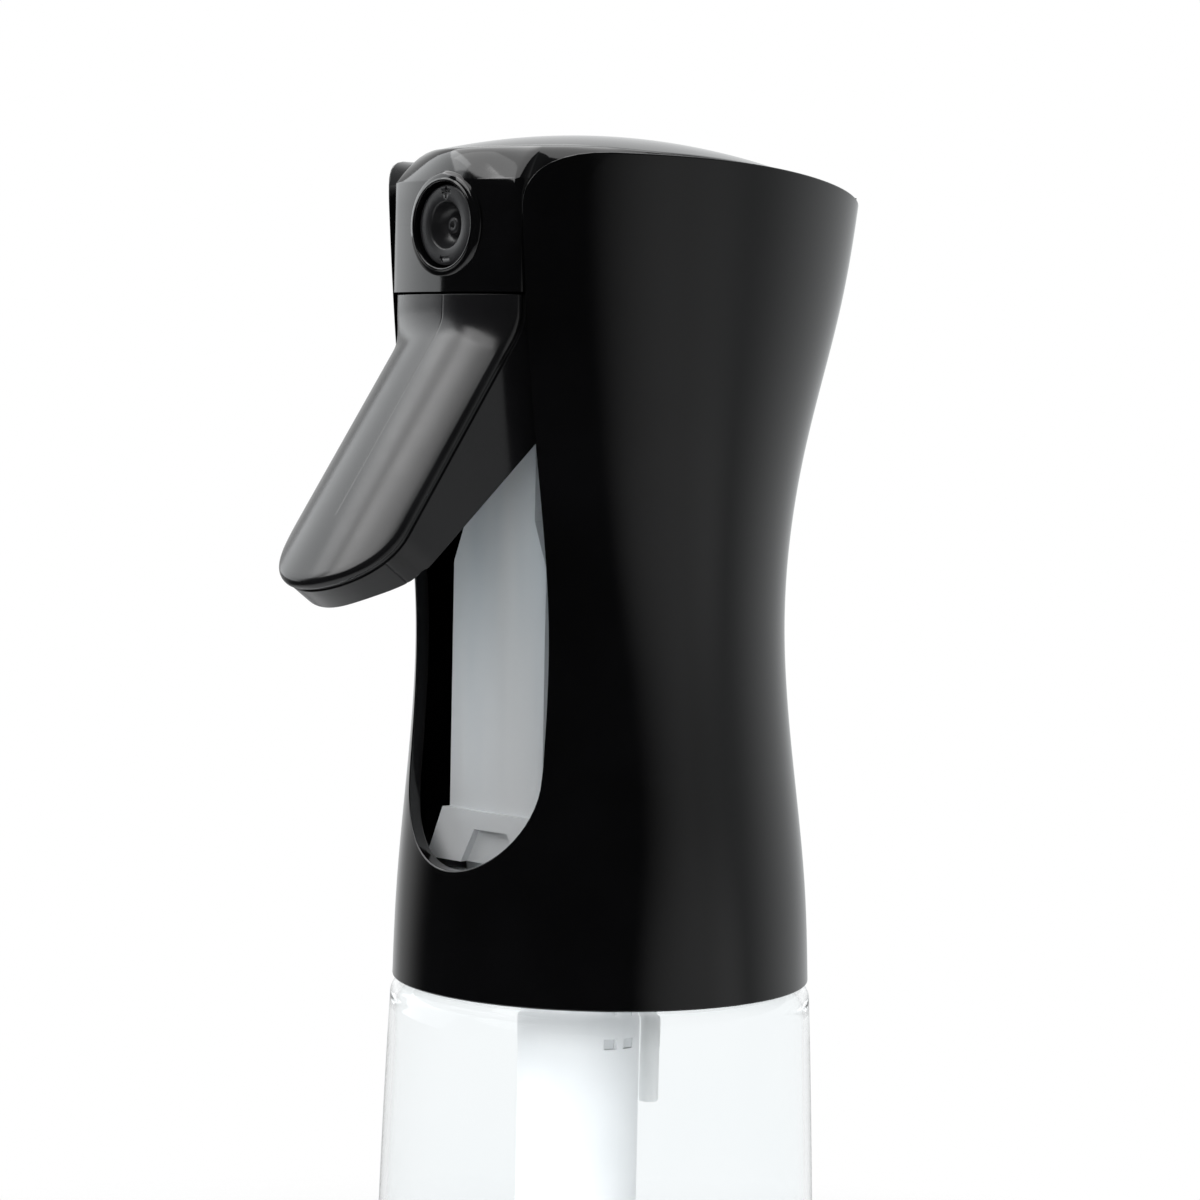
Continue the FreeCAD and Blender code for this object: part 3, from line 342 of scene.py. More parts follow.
# by the record's material slots; the plain plastics give their darker shade, lighter shade, roughness range,
# height of the grain and height of the ripple
MATERIALS = {
    "clear_pet": clear_pet(),
    "black_gloss": plastic(
        "gloss_black", (0.0018, 0.0018, 0.002), (0.0032, 0.0032, 0.0036), (0.06, 0.1), 1.2e-6, 6e-6),
    "black_satin": plastic(
        "satin_black", (0.006, 0.006, 0.0065), (0.010, 0.010, 0.011), (0.17, 0.24), 2e-6, 8e-6),
    "frosted_plastic": frosted(),
    "nozzle_grey": plastic(
        "matte_black", (0.012, 0.012, 0.013), (0.020, 0.020, 0.022), (0.28, 0.38), 6e-6, 4e-6),
    "white_plastic": white_plastic(),
    "tube_plastic": milky(),
    "seal_rubber": plastic(
        "rubber", (0.02, 0.02, 0.021), (0.035, 0.035, 0.036), (0.5, 0.65), 8e-6, 4e-6, 1.52),
    "spring_steel": steel(),
}


def paint(piece, slot):
    piece.data.materials.clear()
    piece.data.materials.append(MATERIALS[slot])


def dress(piece):
    """Give a piece the material of its own record slot."""
    paint(piece, piece["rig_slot"])


# ---------------------------------------------------------------- shroud
# height above the rim, half width, half depth, shift along Y
SHROUD_SECTIONS = [
    (0.0, 28.05, 28.05, 0.0),
    (12.0, 27.5, 27.6, -0.15),
    (26.0, 26.0, 26.45, -0.5),
    (48.0, 24.0, 25.35, -1.15),
    (72.0, 24.2, 29.1, -0.7),
    (91.0, 24.6, 34.0, 1.45),
    (113.0, 25.2, 37.15, 2.8),
]
SHROUD_WALL = 1.8
SHROUD_TOP = 108.9
LEVEL_Y = -16.0             # the top edge is level in front of this, then falls on a large arc
TAIL_CURVE = 280.0
SLOT_HALF = 13.0
SLOT_CENTRE = 29.5          # height of the centre of the slot's round foot
SLOT_CORNER = 7.0
FOOT_TURN = math.radians(52)    # how far round the rim the grid lines under the slot reach


def natural_spline(xs, ys):
    """A function that reads the natural cubic spline through the knots."""
    count = len(xs)
    system = np.zeros((count, count))
    load = np.zeros(count)
    system[0, 0] = system[-1, -1] = 1
    for i in range(1, count - 1):
        before, after = xs[i] - xs[i - 1], xs[i + 1] - xs[i]
        system[i, i - 1], system[i, i], system[i, i + 1] = before, 2 * (before + after), after
        load[i] = 6 * ((ys[i + 1] - ys[i]) / after - (ys[i] - ys[i - 1]) / before)
    bend = np.linalg.solve(system, load)

    def read(x):
        i = min(max(int(np.searchsorted(xs, x)) - 1, 0), count - 2)
        span = xs[i + 1] - xs[i]
        a, b = (xs[i + 1] - x) / span, (x - xs[i]) / span
        curve = ((a ** 3 - a) * bend[i] + (b ** 3 - b) * bend[i + 1]) * span ** 2 / 6
        return a * ys[i] + b * ys[i + 1] + curve

    return read


heights = [row[0] for row in SHROUD_SECTIONS]
half_width = natural_spline(heights, [row[1] for row in SHROUD_SECTIONS])
half_depth = natural_spline(heights, [row[2] for row in SHROUD_SECTIONS])
shift_y = natural_spline(heights, [row[3] for row in SHROUD_SECTIONS])


def oval(turn, z, inset=0.0):
    """Point of the shroud's oval at a turn from the front (radians, towards +X) and a height."""
    across, back = half_width(z) - inset, half_depth(z) - inset
    return (across * math.sin(turn), shift_y(z) - back * math.cos(turn), z)


def turn_at(x, z, inset):
    """Turn at which the oval stands at x."""
    return math.asin(min(x / (half_width(z) - inset), 1.0))


def top_edge(y):
    """Height of the shroud's top edge."""
    back = max(y - LEVEL_Y, 0.0)
    return SHROUD_TOP - (TAIL_CURVE - math.sqrt(TAIL_CURVE ** 2 - back ** 2))


def top_point(turn, inset):
    """(turn, height) where the oval meets the top edge."""
    z = SHROUD_TOP
    for _ in range(12):
        z = top_edge(oval(turn, z, inset)[1])
    return turn, z


def coons(bottom, top, left, right_side):
    """Grid between four boundary lists of (turn, height) pairs."""
    rows = []
    high, wide = len(left), len(bottom)
    for r in range(high):
        v = r / (high - 1)
        row = []
        for c in range(wide):
            u = c / (wide - 1)
            pair = []
            for k in range(2):
                ruled = blend(bottom[c][k], top[c][k], v) + blend(left[r][k], right_side[r][k], u)
                corners = blend(blend(bottom[0][k], bottom[-1][k], u), blend(top[0][k], top[-1][k], u), v)
                pair.append(ruled - corners)
            row.append(tuple(pair))
        rows.append(row)
    return rows


def shroud_half(inset):
    """Right half of the shroud's skin as two grids of (turn, height)."""
    arc_steps, flare_steps, round_steps, slot_steps, low_steps = 16, 5, 76, 56, 14
    slot_heights = np.linspace(SLOT_CENTRE, SHROUD_TOP - SLOT_CORNER, slot_steps)
    slot = [(turn_at(SLOT_HALF, z, inset), z) for z in slot_heights]
    flare = []
    for i in range(1, 2 * flare_steps + 1):
        lean = math.radians(90 * i / (2 * flare_steps))
        x = SLOT_HALF + SLOT_CORNER * (1 - math.cos(lean))
        z = SHROUD_TOP - SLOT_CORNER * (1 - math.sin(lean))
        flare.append((turn_at(x, z, inset), z))
    left = slot + flare[:flare_steps]
    edge_start = flare[-1][0]
    shares = np.linspace(0, 1, round_steps) ** 1.15
    top = flare[flare_steps - 1:] + [top_point(blend(edge_start, math.pi, s), inset) for s in shares[1:]]
    columns = len(top)
    spread = np.linspace(0, 1, columns) ** 1.15
    middle = [(blend(slot[0][0], math.pi, s), SLOT_CENTRE) for s in spread]
    back = [(math.pi, z) for z in np.linspace(SLOT_CENTRE, top[-1][1], len(left))]
    upper = coons(middle, top, left, back)
    bowl = []
    for i in range(arc_steps):
        lean = math.radians(90 * i / arc_steps)
        z = SLOT_CENTRE - SLOT_HALF * math.cos(lean)
        bowl.append((turn_at(SLOT_HALF * math.sin(lean), z, inset), z))
    lid = bowl + middle
    foot = [(FOOT_TURN * i / arc_steps, 0.0) for i in range(arc_steps)]
    foot += [(blend(FOOT_TURN, math.pi, s), 0.0) for s in spread]
    seam = [(0.0, z) for z in np.linspace(0.0, bowl[0][1], low_steps)]
    spine = [(math.pi, z) for z in np.linspace(0.0, SLOT_CENTRE, low_steps)]
    lower = coons(foot, lid, seam, spine)
    return upper, lower


def make_shroud():
    """The cowl: an outer and an inner skin joined round the slot, the top edge and the rim."""
    points, faces = [], []
    borders = []
    for inset in (0.0, SHROUD_WALL):
        border = {}
        for name, rows in zip(("upper", "lower"), shroud_half(inset)):
            first = len(points)
            points += [oval(t, z, inset) for row in rows for t, z in row]
            faces += quads(rows, first, flip=inset > 0)
            wide = len(rows[0])
            border[name] = [[first + r * wide + c for c in range(wide)] for r in range(len(rows))]
        upper, lower = border["upper"], border["lower"]
        columns = len(upper[0])
        bowl = lower[-1][:len(lower[0]) - columns + 1]
        slot = [row[0] for row in upper]
        borders.append(([*bowl, *slot[1:], *upper[-1][1:]], lower[0]))
    for outer, inner in zip(*borders):
        for i in range(len(outer) - 1):
            faces.append((outer[i], outer[i + 1], inner[i + 1], inner[i]))
    points, faces = mirrored(points, faces)
    shroud = build("shroud_shell", points, faces, "head", "black_gloss", "shroud")
    bevel(shroud, 0.3)
    dress(shroud)


# ---------------------------------------------------------------- head cover
COVER_GAP = 0.4             # clear of the shroud's inner skin
SEAM_Z = 91.2               # lower edge of the face, at the seam with the trigger
COVER_SKIRT = 99.0          # lower edge elsewhere, hidden in the shroud
FACE_Y = -28.5              # the nozzle parts count their distances forward from here
FACE_FRONT = -30.0          # the face bulges this far forward in its middle
FACE_SAG = 2.0              # and falls back this much at its sides
FACE_HALF = 12.6
FACE_CORNER = 1.6
CREST_Z = 112.4             # highest point of the dome
CREST_Y = -4.0
DOME_LONG = 99.0            # radius of the dome along Y
DOME_CROSS = 66.0           # radius of the dome across
SHOULDER_Z = 106.2          # where the upright walls turn into the sloping band
NOSE_SHOULDER = 105.8       # the same height on the nose
LID_INSET = 1.8             # the dome's own outline stands this far inside the wall's
NOSE_INSET = 4.5            # and this far on the nose
COVER_WALL = 1.8
NOSE_BACK = -25.0           # the nose's shape fades out from here backwards
NOSE_FADE = 14.0
GROOVE_DEPTH = 0.012        # the fine witness line across the face


def dome_height(x, y):
    """Height of the dome over a plan point."""
    along = DOME_LONG - math.sqrt(DOME_LONG ** 2 - (y - CREST_Y) ** 2)
    across = DOME_CROSS - math.sqrt(DOME_CROSS ** 2 - x ** 2)
    return CREST_Z - along - across


def face_y(x):
    """The bulged face at a distance from the middle."""
    return FACE_FRONT + FACE_SAG * (x / FACE_HALF) ** 2


def cover_outline(z):
    """Right half of the cover's plan, front middle to back middle: list of (x, y, on_nose)."""
    face_steps, side_steps, round_steps = 16, 3, 56
    pull = SHROUD_WALL + COVER_GAP
    wide, deep, shift = half_width(z) - pull, half_depth(z) - pull, shift_y(z)
    flat = FACE_HALF - FACE_CORNER
    lean = math.degrees(math.atan(2 * FACE_SAG * flat / FACE_HALF ** 2))
    start = flat + FACE_CORNER * math.sin(math.radians(lean))
    plan = [(start * i / face_steps, face_y(start * i / face_steps), True) for i in range(face_steps)]
    middle = face_y(start) + FACE_CORNER * math.cos(math.radians(lean))
    for x, y in arc(flat, middle, FACE_CORNER, lean - 90, 0, 6):
        plan.append((x, y, True))
    join = math.asin(FACE_HALF / wide)
    meet = shift - deep * math.cos(join)
    for i in range(1, side_steps + 1):
        plan.append((FACE_HALF, blend(middle, meet - 0.7, i / side_steps), True))
    for i in range(1, round_steps + 1):
        turn = blend(join, math.pi, i / round_steps)
        plan.append((wide * math.sin(turn), shift - deep * math.cos(turn), False))
    return plan


def nose_share(y):
    """1 on the nose, 0 round the sides and back."""
    return 1 - ease((y - NOSE_BACK) / NOSE_FADE)


def crease_point(x, y, z):
    """Where the dome starts, on the ray from the cover's middle through an outline point."""
    pull = SHROUD_WALL + COVER_GAP + blend(LID_INSET, NOSE_INSET, nose_share(y))
    wide, deep = half_width(z) - pull, half_depth(z) - pull
    middle = shift_y(z)
    scale = 1 / math.hypot(x / wide, (y - middle) / deep)
    scale = min(scale, 1.0 - 0.35 / max(math.hypot(x, y - middle), 1))
    return x * scale, middle + (y - middle) * scale


def make_head_cover():
    """The lid: upright walls, a rounded band and a dome, with the flat-sided nose for the nozzle."""
    base = cover_outline(SHOULDER_Z)
    rows = []
    shoulders = [blend(SHOULDER_Z, NOSE_SHOULDER, nose_share(y)) - 0.5 for x, y, _ in base]
    parting = (NOZZLE_Z - SEAM_Z) / (shoulders[0] - SEAM_Z)
    groove_rows = [parting + step for step in (-0.02, -0.008, 0, 0.008, 0.02)]
    for share in (0, 0.015, 0.2, 0.4, *groove_rows, 0.8, 1):
        row = []
        groove = GROOVE_DEPTH if share == parting else 0.0
        for index, (x, y, nose) in enumerate(base):
            low = SEAM_Z if nose else COVER_SKIRT
            z = blend(low, shoulders[index], share)
            if nose:
                row.append((x, y + (groove if x < FACE_HALF - 1 else 0.0), z))
            else:
                px, py, _ = cover_outline(z)[index]
                row.append((px, py, z))
        rows.append(row)
    creases = [crease_point(x, y, SHOULDER_Z) for x, y, _ in base]
    for share in (0.03, 0.08, 0.16, 0.28, 0.42, 0.56, 0.7, 0.82, 0.91, 0.97, 1.0):
        row = []
        for (x, y, _), (cx, cy), start in zip(base, creases, shoulders):
            front = nose_share(y)
            climb = share + 0.06 * math.sin(math.pi * share)
            climb = blend(climb, math.sin(math.pi / 2 * share), front)
            across = share ** blend(1.25, 1.05, front)
            z = blend(start, dome_height(cx, cy), climb)
            row.append((blend(x, cx, across), blend(y, cy, across), z))
        rows.append(row)
    cap_steps = 26
    for i in range(1, cap_steps + 1):
        share = 1 - i / cap_steps
        row = []
        for cx, cy in creases:
            x, y = cx * share, blend(CREST_Y, cy, share)
            row.append((x, y, dome_height(x, y)))
        rows.append(row)
    points = [p for row in rows for p in row]
    points, faces = mirrored(points, quads(rows))
    cover = build("head_cover_shell", points, faces, "head", "black_gloss", "head_cover")
    thick = cover.modifiers.new("wall", "SOLIDIFY")
    thick.thickness = COVER_WALL * MM
    thick.offset = -1
    thick.use_even_offset = False
    cut(cover, bore_tool(6.3))
    bevel(cover, 0.22, 2, 50)
    dress(cover)


def bore_tool(radius):
    """A closed cylinder along Y through the nozzle face, used only to cut."""
    work = bmesh.new()
    wide, length = radius * MM, 14 * MM
    bmesh.ops.create_cone(work, cap_ends=True, segments=96, radius1=wide, radius2=wide, depth=length)
    upright = Matrix.Rotation(math.radians(90), 3, "X")
    bmesh.ops.rotate(work, verts=work.verts, cent=(0, 0, 0), matrix=upright)
    bmesh.ops.translate(work, verts=work.verts, vec=(0, (FACE_Y + 2) * MM, (NOZZLE_Z + RIM) * MM))
    return mesh_object("drill", work)


def cut(piece, tool):
    """Add a boolean cut, bake the piece's modifiers into its mesh and remove the cutting tool."""
    cutter = piece.modifiers.new("cut", "BOOLEAN")
    cutter.object = tool
    cutter.operation = "DIFFERENCE"
    cutter.solver = "EXACT"
    cutter.use_self = True
    bpy.context.view_layer.update()
    graph = bpy.context.evaluated_depsgraph_get()
    solid = bpy.data.meshes.new_from_object(piece.evaluated_get(graph))
    piece.modifiers.clear()
    piece.data = solid
    bpy.data.objects.remove(tool)


def front_lathe(name, profile, body, slot, *replaced):
    """Corners of (radius, distance in front of the face) turned about the nozzle's axis."""
    points, faces = lathe(profile)
    moved = [(x, FACE_Y - z, NOZZLE_Z + y) for x, y, z in points]
    return build(name, moved, faces, body, slot, *replaced)


BEZEL_PROUD = 1.85          # how far the ring's lip stands forward
BORE = 5.5
LIP_R = 0.22
INSERT_FRONT = 1.15         # how far the insert's face stands forward


def make_bezel():
    """Raised ring round the nozzle: a sloping shoulder, a rounded lip and the bore."""
    profile = [(6.95, 1.0), (6.8, 1.25), (6.6, 1.45), (6.4, 1.6), (BORE + 2.6 * LIP_R, 1.68)]
    profile += arc(BORE + LIP_R, BEZEL_PROUD - LIP_R, LIP_R, 30, 180, 8)
    profile += [(BORE, 0.6), (BORE, -0.6), (BORE, -7.7), (6.25, -7.7), (6.25, 0.4), (6.6, 0.8)]
    ring = front_lathe("nozzle_bezel", profile, "head", "black_gloss")
    dress(ring)


def make_insert():
    """Rotating nozzle cap: dished socket with a raised orifice, and the adjusting marks."""
    face = INSERT_FRONT
    orifice = [(0.0, 1.75), (0.32, 1.75), (0.34, 1.25), (0.42, 1.2), (0.95, 1.25), (1.1, 1.4), (1.2, 2.1)]
    dish = [(1.5, 2.25), (1.95, 2.1), (2.4, 1.75), (2.75, 1.1), (2.95, 0.3), (3.05, 0.06), (3.2, 0.0)]
    border = [(4.0, 0.0), (4.8, 0.0), (5.05, 0.06), (5.18, 0.25), (5.2, 0.6)]
    profile = [(r, face - sunk) for r, sunk in orifice + dish + border]
    profile += [(5.2, -8.2), (4.6, -8.2), (4.6, face - 3.2), (0.0, face - 3.2)]
    cap = front_lathe("nozzle_cap", profile, "nozzle", "nozzle_grey", "nozzle_insert")
    cut(cap, mark_tool())
    dress(cap)


def mark_tool():
    """Bars that cut a shallow plus above the socket and a minus below it, each with a small pointer."""
    strokes = [(-0.75, 4.1, 0.75, 4.1), (0.0, 3.5, 0.0, 4.75), (0.0, 4.75, 0.55, 4.3),
               (-0.85, -4.15, 0.8, -4.15), (-0.85, -4.15, -0.5, -4.6)]
    work = bmesh.new()
    for x0, z0, x1, z1 in strokes:
        length = math.hypot(x1 - x0, z1 - z0)
        bar = bmesh.ops.create_cube(work, size=1.0)["verts"]
        bmesh.ops.scale(work, verts=bar, vec=((length + 0.2) * MM, 0.36 * MM, 0.24 * MM))
        slope = Matrix.Rotation(-math.atan2(z1 - z0, x1 - x0), 3, "Y")
        bmesh.ops.rotate(work, verts=bar, cent=(0, 0, 0), matrix=slope)
        shift = ((x0 + x1) / 2 * MM, (FACE_Y - INSERT_FRONT) * MM, (NOZZLE_Z + RIM + (z0 + z1) / 2) * MM)
        bmesh.ops.translate(work, verts=bar, vec=shift)
    return mesh_object("marks", work)


# ---------------------------------------------------------------- trigger
TIP = (-50.8, 52.8)         # edge level of the pad's tip: y, height above the rim
LEAN = math.radians(35)     # the pad leans this far from upright
PAD_HALF = 10.6
BLOCK_HALF = 11.9
BLOCK_Y = -27.7             # edge level of the block's front
BLOCK_TOP = 90.9
BEND = 9.0                  # radius of the bend from the pad to the block
BULGE = 2.6
BLOCK_BULGE = 2.2
BULGE_POWER = 2.3
EDGE_ROUND = 1.0
OVERHANG = 0.2              # of the pad's edge over its side skirt
PAD_WALL = 2.0
KNEE = 8.35                 # distance from the tip where the skirt starts to deepen evenly
PARTING = 6.1               # distance from the tip of the fine line across the skirt


def pad_depth(along):
    """How far the side skirt reaches behind the pad's edge level."""
    if along < KNEE:
        return 3.0 + 3.0 * ease(along / KNEE)
    return min(6.3 + 0.24 * (along - KNEE), 13.5)


def pad_stations():
    """Stations up the trigger: (centre y, z, tilt of the normal, half width, bulge, distance along)."""
    bend_steps, block_steps = 12, 4
    climb = (BLOCK_Y - TIP[0]) / math.sin(LEAN)
    tangent = BEND * math.tan(LEAN / 2)
    straight = climb - tangent
    stations = []
    for s in np.linspace(PAD_HALF, straight, 34):
        stations.append((TIP[0] + s * math.sin(LEAN), TIP[1] + s * math.cos(LEAN), LEAN, PAD_HALF, BULGE, s))
    start_y, start_z = TIP[0] + straight * math.sin(LEAN), TIP[1] + straight * math.cos(LEAN)
    centre_y, centre_z = start_y - BEND * math.cos(LEAN), start_z + BEND * math.sin(LEAN)
    for i in range(1, bend_steps + 1):
        tilt = LEAN * (1 - i / bend_steps)
        share = ease(i / bend_steps)
        y, z = centre_y + BEND * math.cos(tilt), centre_z - BEND * math.sin(tilt)
        half, bulge = blend(PAD_HALF, BLOCK_HALF, share), blend(BULGE, BLOCK_BULGE, share)
        stations.append((y, z, tilt, half, bulge, straight + i))
    last_z = stations[-1][1]
    for i in range(1, block_steps + 1):
        z = blend(last_z, BLOCK_TOP, i / block_steps)
        stations.append((BLOCK_Y, z, 0.0, BLOCK_HALF, BLOCK_BULGE, straight + bend_steps + i))
    return stations


def pad_profile(half, bulge, depth, slant=1.0, notch=0.0):
    """Half section of the pad as (distance from the middle, height) pairs, outside then inside.

    slant is the share of the distance that counts across the pad: 1 on its straight part, less round the tip;
    notch sinks the side skirt, for the fine parting line across it.
    """
    def crown(r):
        """Height of the bulged pad at a distance from its middle."""
        return bulge * (1 - abs(r * slant / half) ** BULGE_POWER)

    reach = half - EDGE_ROUND
    slope = bulge * BULGE_POWER * (reach * slant / half) ** (BULGE_POWER - 1) * slant / half
    start = math.atan(slope)
    join = reach + EDGE_ROUND * math.sin(start)
    level = crown(join) - EDGE_ROUND * math.cos(start)
    outside = [(0.0, crown(0) - 0.03), (0.06, crown(0.06)), (0.2, crown(0.2))]
    outside += [(join * i / 14, crown(join * i / 14)) for i in range(1, 14)]
    for i in range(7):
        lean = blend(start, math.pi / 2, i / 6)
        outside.append((reach + EDGE_ROUND * math.sin(lean), level + EDGE_ROUND * math.cos(lean)))
    # a fine groove under the rounded edge, then the side skirt
    lower = level - 0.1
    skirt, skirt_top, floor = half - OVERHANG - notch, lower - 0.85, -depth
    outside += [(half, lower), (half - 0.12, lower - 0.2), (half - OVERHANG - 0.3, lower - 0.25),
                (half - OVERHANG - 0.3, lower - 0.75), (skirt, skirt_top)]
    outside += [(skirt, blend(skirt_top, floor, i / 4)) for i in range(1, 5)]
    inner = half - OVERHANG - PAD_WALL
    roof = crown(inner) - PAD_WALL
    inside = [(inner, blend(floor, roof, i / 4)) for i in range(5)]
    inside += [(inner * (1 - i / 8), crown(inner * (1 - i / 8)) - PAD_WALL) for i in range(1, 9)]
    return outside + inside


def make_trigger():
    """The finger pad swept from its round tip up to the block, and its two arms."""
    rows = []
    tip_steps = 22
    normal = Vector((0, -math.cos(LEAN), math.sin(LEAN)))
    along = Vector((0, math.sin(LEAN), math.cos(LEAN)))
    hub = Vector((0, *TIP)) + along * PAD_HALF
    parting = math.acos(1 - PARTING / PAD_HALF)
    turns = [math.pi / 2 * i / tip_steps for i in range(tip_steps)]
    turns = [t for t in turns if abs(t - parting) > 0.03]
    turns += [parting + step for step in (-0.025, -0.012, 0, 0.012, 0.025)]
    for angle in sorted(turns):
        out = Vector((math.sin(angle), 0, 0)) - along * math.cos(angle)
        reach = PAD_HALF * (1 - math.cos(angle))
        notch = 0.12 if angle == parting else 0.0
        profile = pad_profile(PAD_HALF, BULGE, pad_depth(reach), math.sin(angle), notch)
        rows.append([tuple(hub + out * r + normal * n) for r, n in profile])
    for y, z, tilt, half, bulge, s in pad_stations():
        normal_here = Vector((0, -math.cos(tilt), math.sin(tilt)))
        profile = pad_profile(half, bulge, pad_depth(s))
        rows.append([tuple(Vector((r, y, z)) + normal_here * n) for r, n in profile])
    wide = len(rows[0])
    points = [p for row in rows for p in row]
    faces = quads(rows)
    last = (len(rows) - 1) * wide
    faces.append(tuple(range(last, last + wide)))
    points, faces = mirrored(points, faces)
    trigger = build("finger_trigger", points, faces, "trigger", "black_satin", "trigger")
    bevel(trigger, 0.14, 2, 45)
    dress(trigger)
    for side, word in ((-1, "left"), (1, "right")):
        make_arm(side, word)


def make_arm(side, word):
    """One rear arm: a plate with the pivot's bore and the slot that lifts the pump's crosshead."""
    inner, outer, tall = 8.4, 10.2, 3.4
    slot_r, run, bore_r = 1.9, 2.4, 1.57
    upper, lower = PIVOT_Z + tall, PIVOT_Z - tall
    plate = [(-26.5, 84.0), (-26.0, 90.4), (-14.0, 90.4), (-9.0, upper), (CROSSHEAD_Y + run, upper)]
    plate += arc(CROSSHEAD_Y + run, PIVOT_Z, tall, 90, -90, 14)[1:]
    plate += [(-10.0, lower), (-14.5, 79.5), (-19.6, 77.8)]
    slot = arc(CROSSHEAD_Y + run, PIVOT_Z, slot_r, 90, -90, 12)
    slot += arc(CROSSHEAD_Y, PIVOT_Z, slot_r, -90, -270, 12)
    bore = arc(PIVOT_Y, PIVOT_Z, bore_r, 0, 360, 28)[:-1]
    work = bmesh.new()
    edges = []
    for loop in (plate, slot, bore):
        corners = [work.verts.new((side * inner * MM, y * MM, (z + RIM) * MM)) for y, z in loop]
        edges += [work.edges.new((a, b)) for a, b in zip(corners, corners[1:] + corners[:1])]
    bmesh.ops.triangle_fill(work, edges=edges, use_beauty=True)
    pushed = bmesh.ops.extrude_face_region(work, geom=work.faces[:])
    moved = [item for item in pushed["geom"] if isinstance(item, bmesh.types.BMVert)]
    bmesh.ops.translate(work, verts=moved, vec=(side * (outer - inner) * MM, 0, 0))
    bmesh.ops.recalc_face_normals(work, faces=work.faces)
    arm = mesh_object("trigger_arm_" + word, work)
    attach(arm, "trigger")
    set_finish(arm, "black_satin")
    bevel(arm, 0.2, 2, 50)
    dress(arm)


# ---------------------------------------------------------------- bottle
def make_bottle():
    """Clear bottle: flat ring foot, slightly bowed barrel, rounded shoulder and threaded neck."""
    wall, heel = 1.0, 6.0
    foot = -RIM
    barrel = []
    for i in range(41):
        share = i / 40
        z = blend(foot + heel, -2.4, share)
        bow = 1.05 * 4 * share * (1 - share)
        barrel.append((blend(29.5, 28.3, share) + bow, z))
    outside = [(0.0, foot + 3.0)]
    outside += [(15.0 * i / 10, foot + 3.0 * (1 - (i / 10) ** 2)) for i in range(1, 11)]
    outside += [(19.0, foot), (23.5, foot)]
    outside += [(r, foot + heel + z) for r, z in arc(23.5, 0, heel, -80, 0, 10)]
    outside += barrel[1:]
    outside += arc(26.35, -2.4, 1.95, 0, 88, 8)[1:]
    outside += [(24.0, 0.35), (21.0, 1.6), (18.0, 3.0), (16.2, 3.75), (15.1, 4.05), (14.6, 4.6)]
    outside += [(14.5, 5.2), (14.5, 13.9), (14.3, 14.2)]
    inside = [(13.2, 14.2), (13.0, 13.9), (13.0, 4.0), (13.6, 3.0), (15.8, 2.6)]
    inside += [(18.0, 1.8), (21.0, 0.5), (24.0, -0.75), (26.0, -1.5), (27.0, -2.4)]
    inside += [(r - wall, z) for r, z in reversed(barrel[:-1])]
    inside += [(r, foot + heel + z) for r, z in arc(23.5, 0, heel - wall, -5, -88, 9)]
    inside += [(19.0, foot + wall)]
    inside += [(15.0 * (1 - i / 10), foot + wall + 3.0 * (1 - (1 - i / 10) ** 2)) for i in range(11)]
    points, faces = lathe(outside + inside, 192, closed=False)
    bottle = build("bottle_shell", points, faces, "bottle", "clear_pet", "bottle")
    dress(bottle)
    make_thread()


def make_thread():
    """Right-hand helical rib of one and a half turns round the bottle's neck, tapering at both ends."""
    root, crest, start = 14.35, 15.7, 5.6
    pitch, turns, steps = 4.0, 1.5, 150
    rows = []
    for i in range(steps + 1):
        share = i / steps
        angle = math.radians(40) + 2 * math.pi * turns * share
        fade = min(1.0, 9 * share, 9 * (1 - share))
        peak = blend(root, crest, blend(0.02, 1.0, fade))
        z = start + pitch * turns * share
        section = [(root, -0.85), (peak, -0.5), (peak, 0.5), (root, 0.85)]
        rows.append([(r * math.cos(angle), r * math.sin(angle), z + dz) for r, dz in section])
    points = [p for row in rows for p in row]
    faces = quads(rows, closed=True)
    faces.append(tuple(range(4)))
    faces.append(tuple(range(len(points) - 4, len(points))))
    rib = build("bottle_thread", points, faces, "bottle", "clear_pet")
    bevel(rib, 0.15, 2, 30)
    dress(rib)


# ---------------------------------------------------------------- stage
def area_light(name, place, target, size, radiance, colour=(1, 1, 1)):
    """Soft box: size in metres, radiance as seen in a mirror."""
    data = bpy.data.lights.new(name, "AREA")
    data.shape = "RECTANGLE"
    data.size, data.size_y = size
    data.energy = radiance * size[0] * size[1] * math.pi
    data.color = colour
    lamp = link_object(name, data)
    lamp.location = place
    lamp.rotation_euler = (Vector(target) - Vector(place)).to_track_quat("-Z", "Y").to_euler()
    return lamp


def make_floor():
    """A pale disc that fades out towards its edge."""
    work = bmesh.new()
    bmesh.ops.create_circle(work, cap_ends=True, segments=96, radius=0.5)
    floor = mesh_object("floor", work)
    floor.location.z = -0.00005
    material, tree, shader = new_material("pale_floor")
    tinted(tree, shader, noise(tree, 12, 3), (0.86, 0.865, 0.87), (0.90, 0.90, 0.90))
    shader.inputs["Roughness"].default_value = 0.6
    place = node(tree, "ShaderNodeTexCoord")
    length = node(tree, "ShaderNodeVectorMath", operation="LENGTH")
    tree.links.new(place.outputs["Object"], length.inputs[0])
    see_through(tree, ranged(tree, length.outputs["Value"], 0.0, 1.0, 0.22, 0.42), shader)
    floor.data.materials.append(material)


def aimed(tree, place, direction):
    """How far the world direction agrees with a given one, -1 to 1."""
    product = node(tree, "ShaderNodeVectorMath", operation="DOT_PRODUCT")
    product.inputs[1].default_value = direction
    tree.links.new(place.outputs["Generated"], product.inputs[0])
    return product.outputs["Value"]


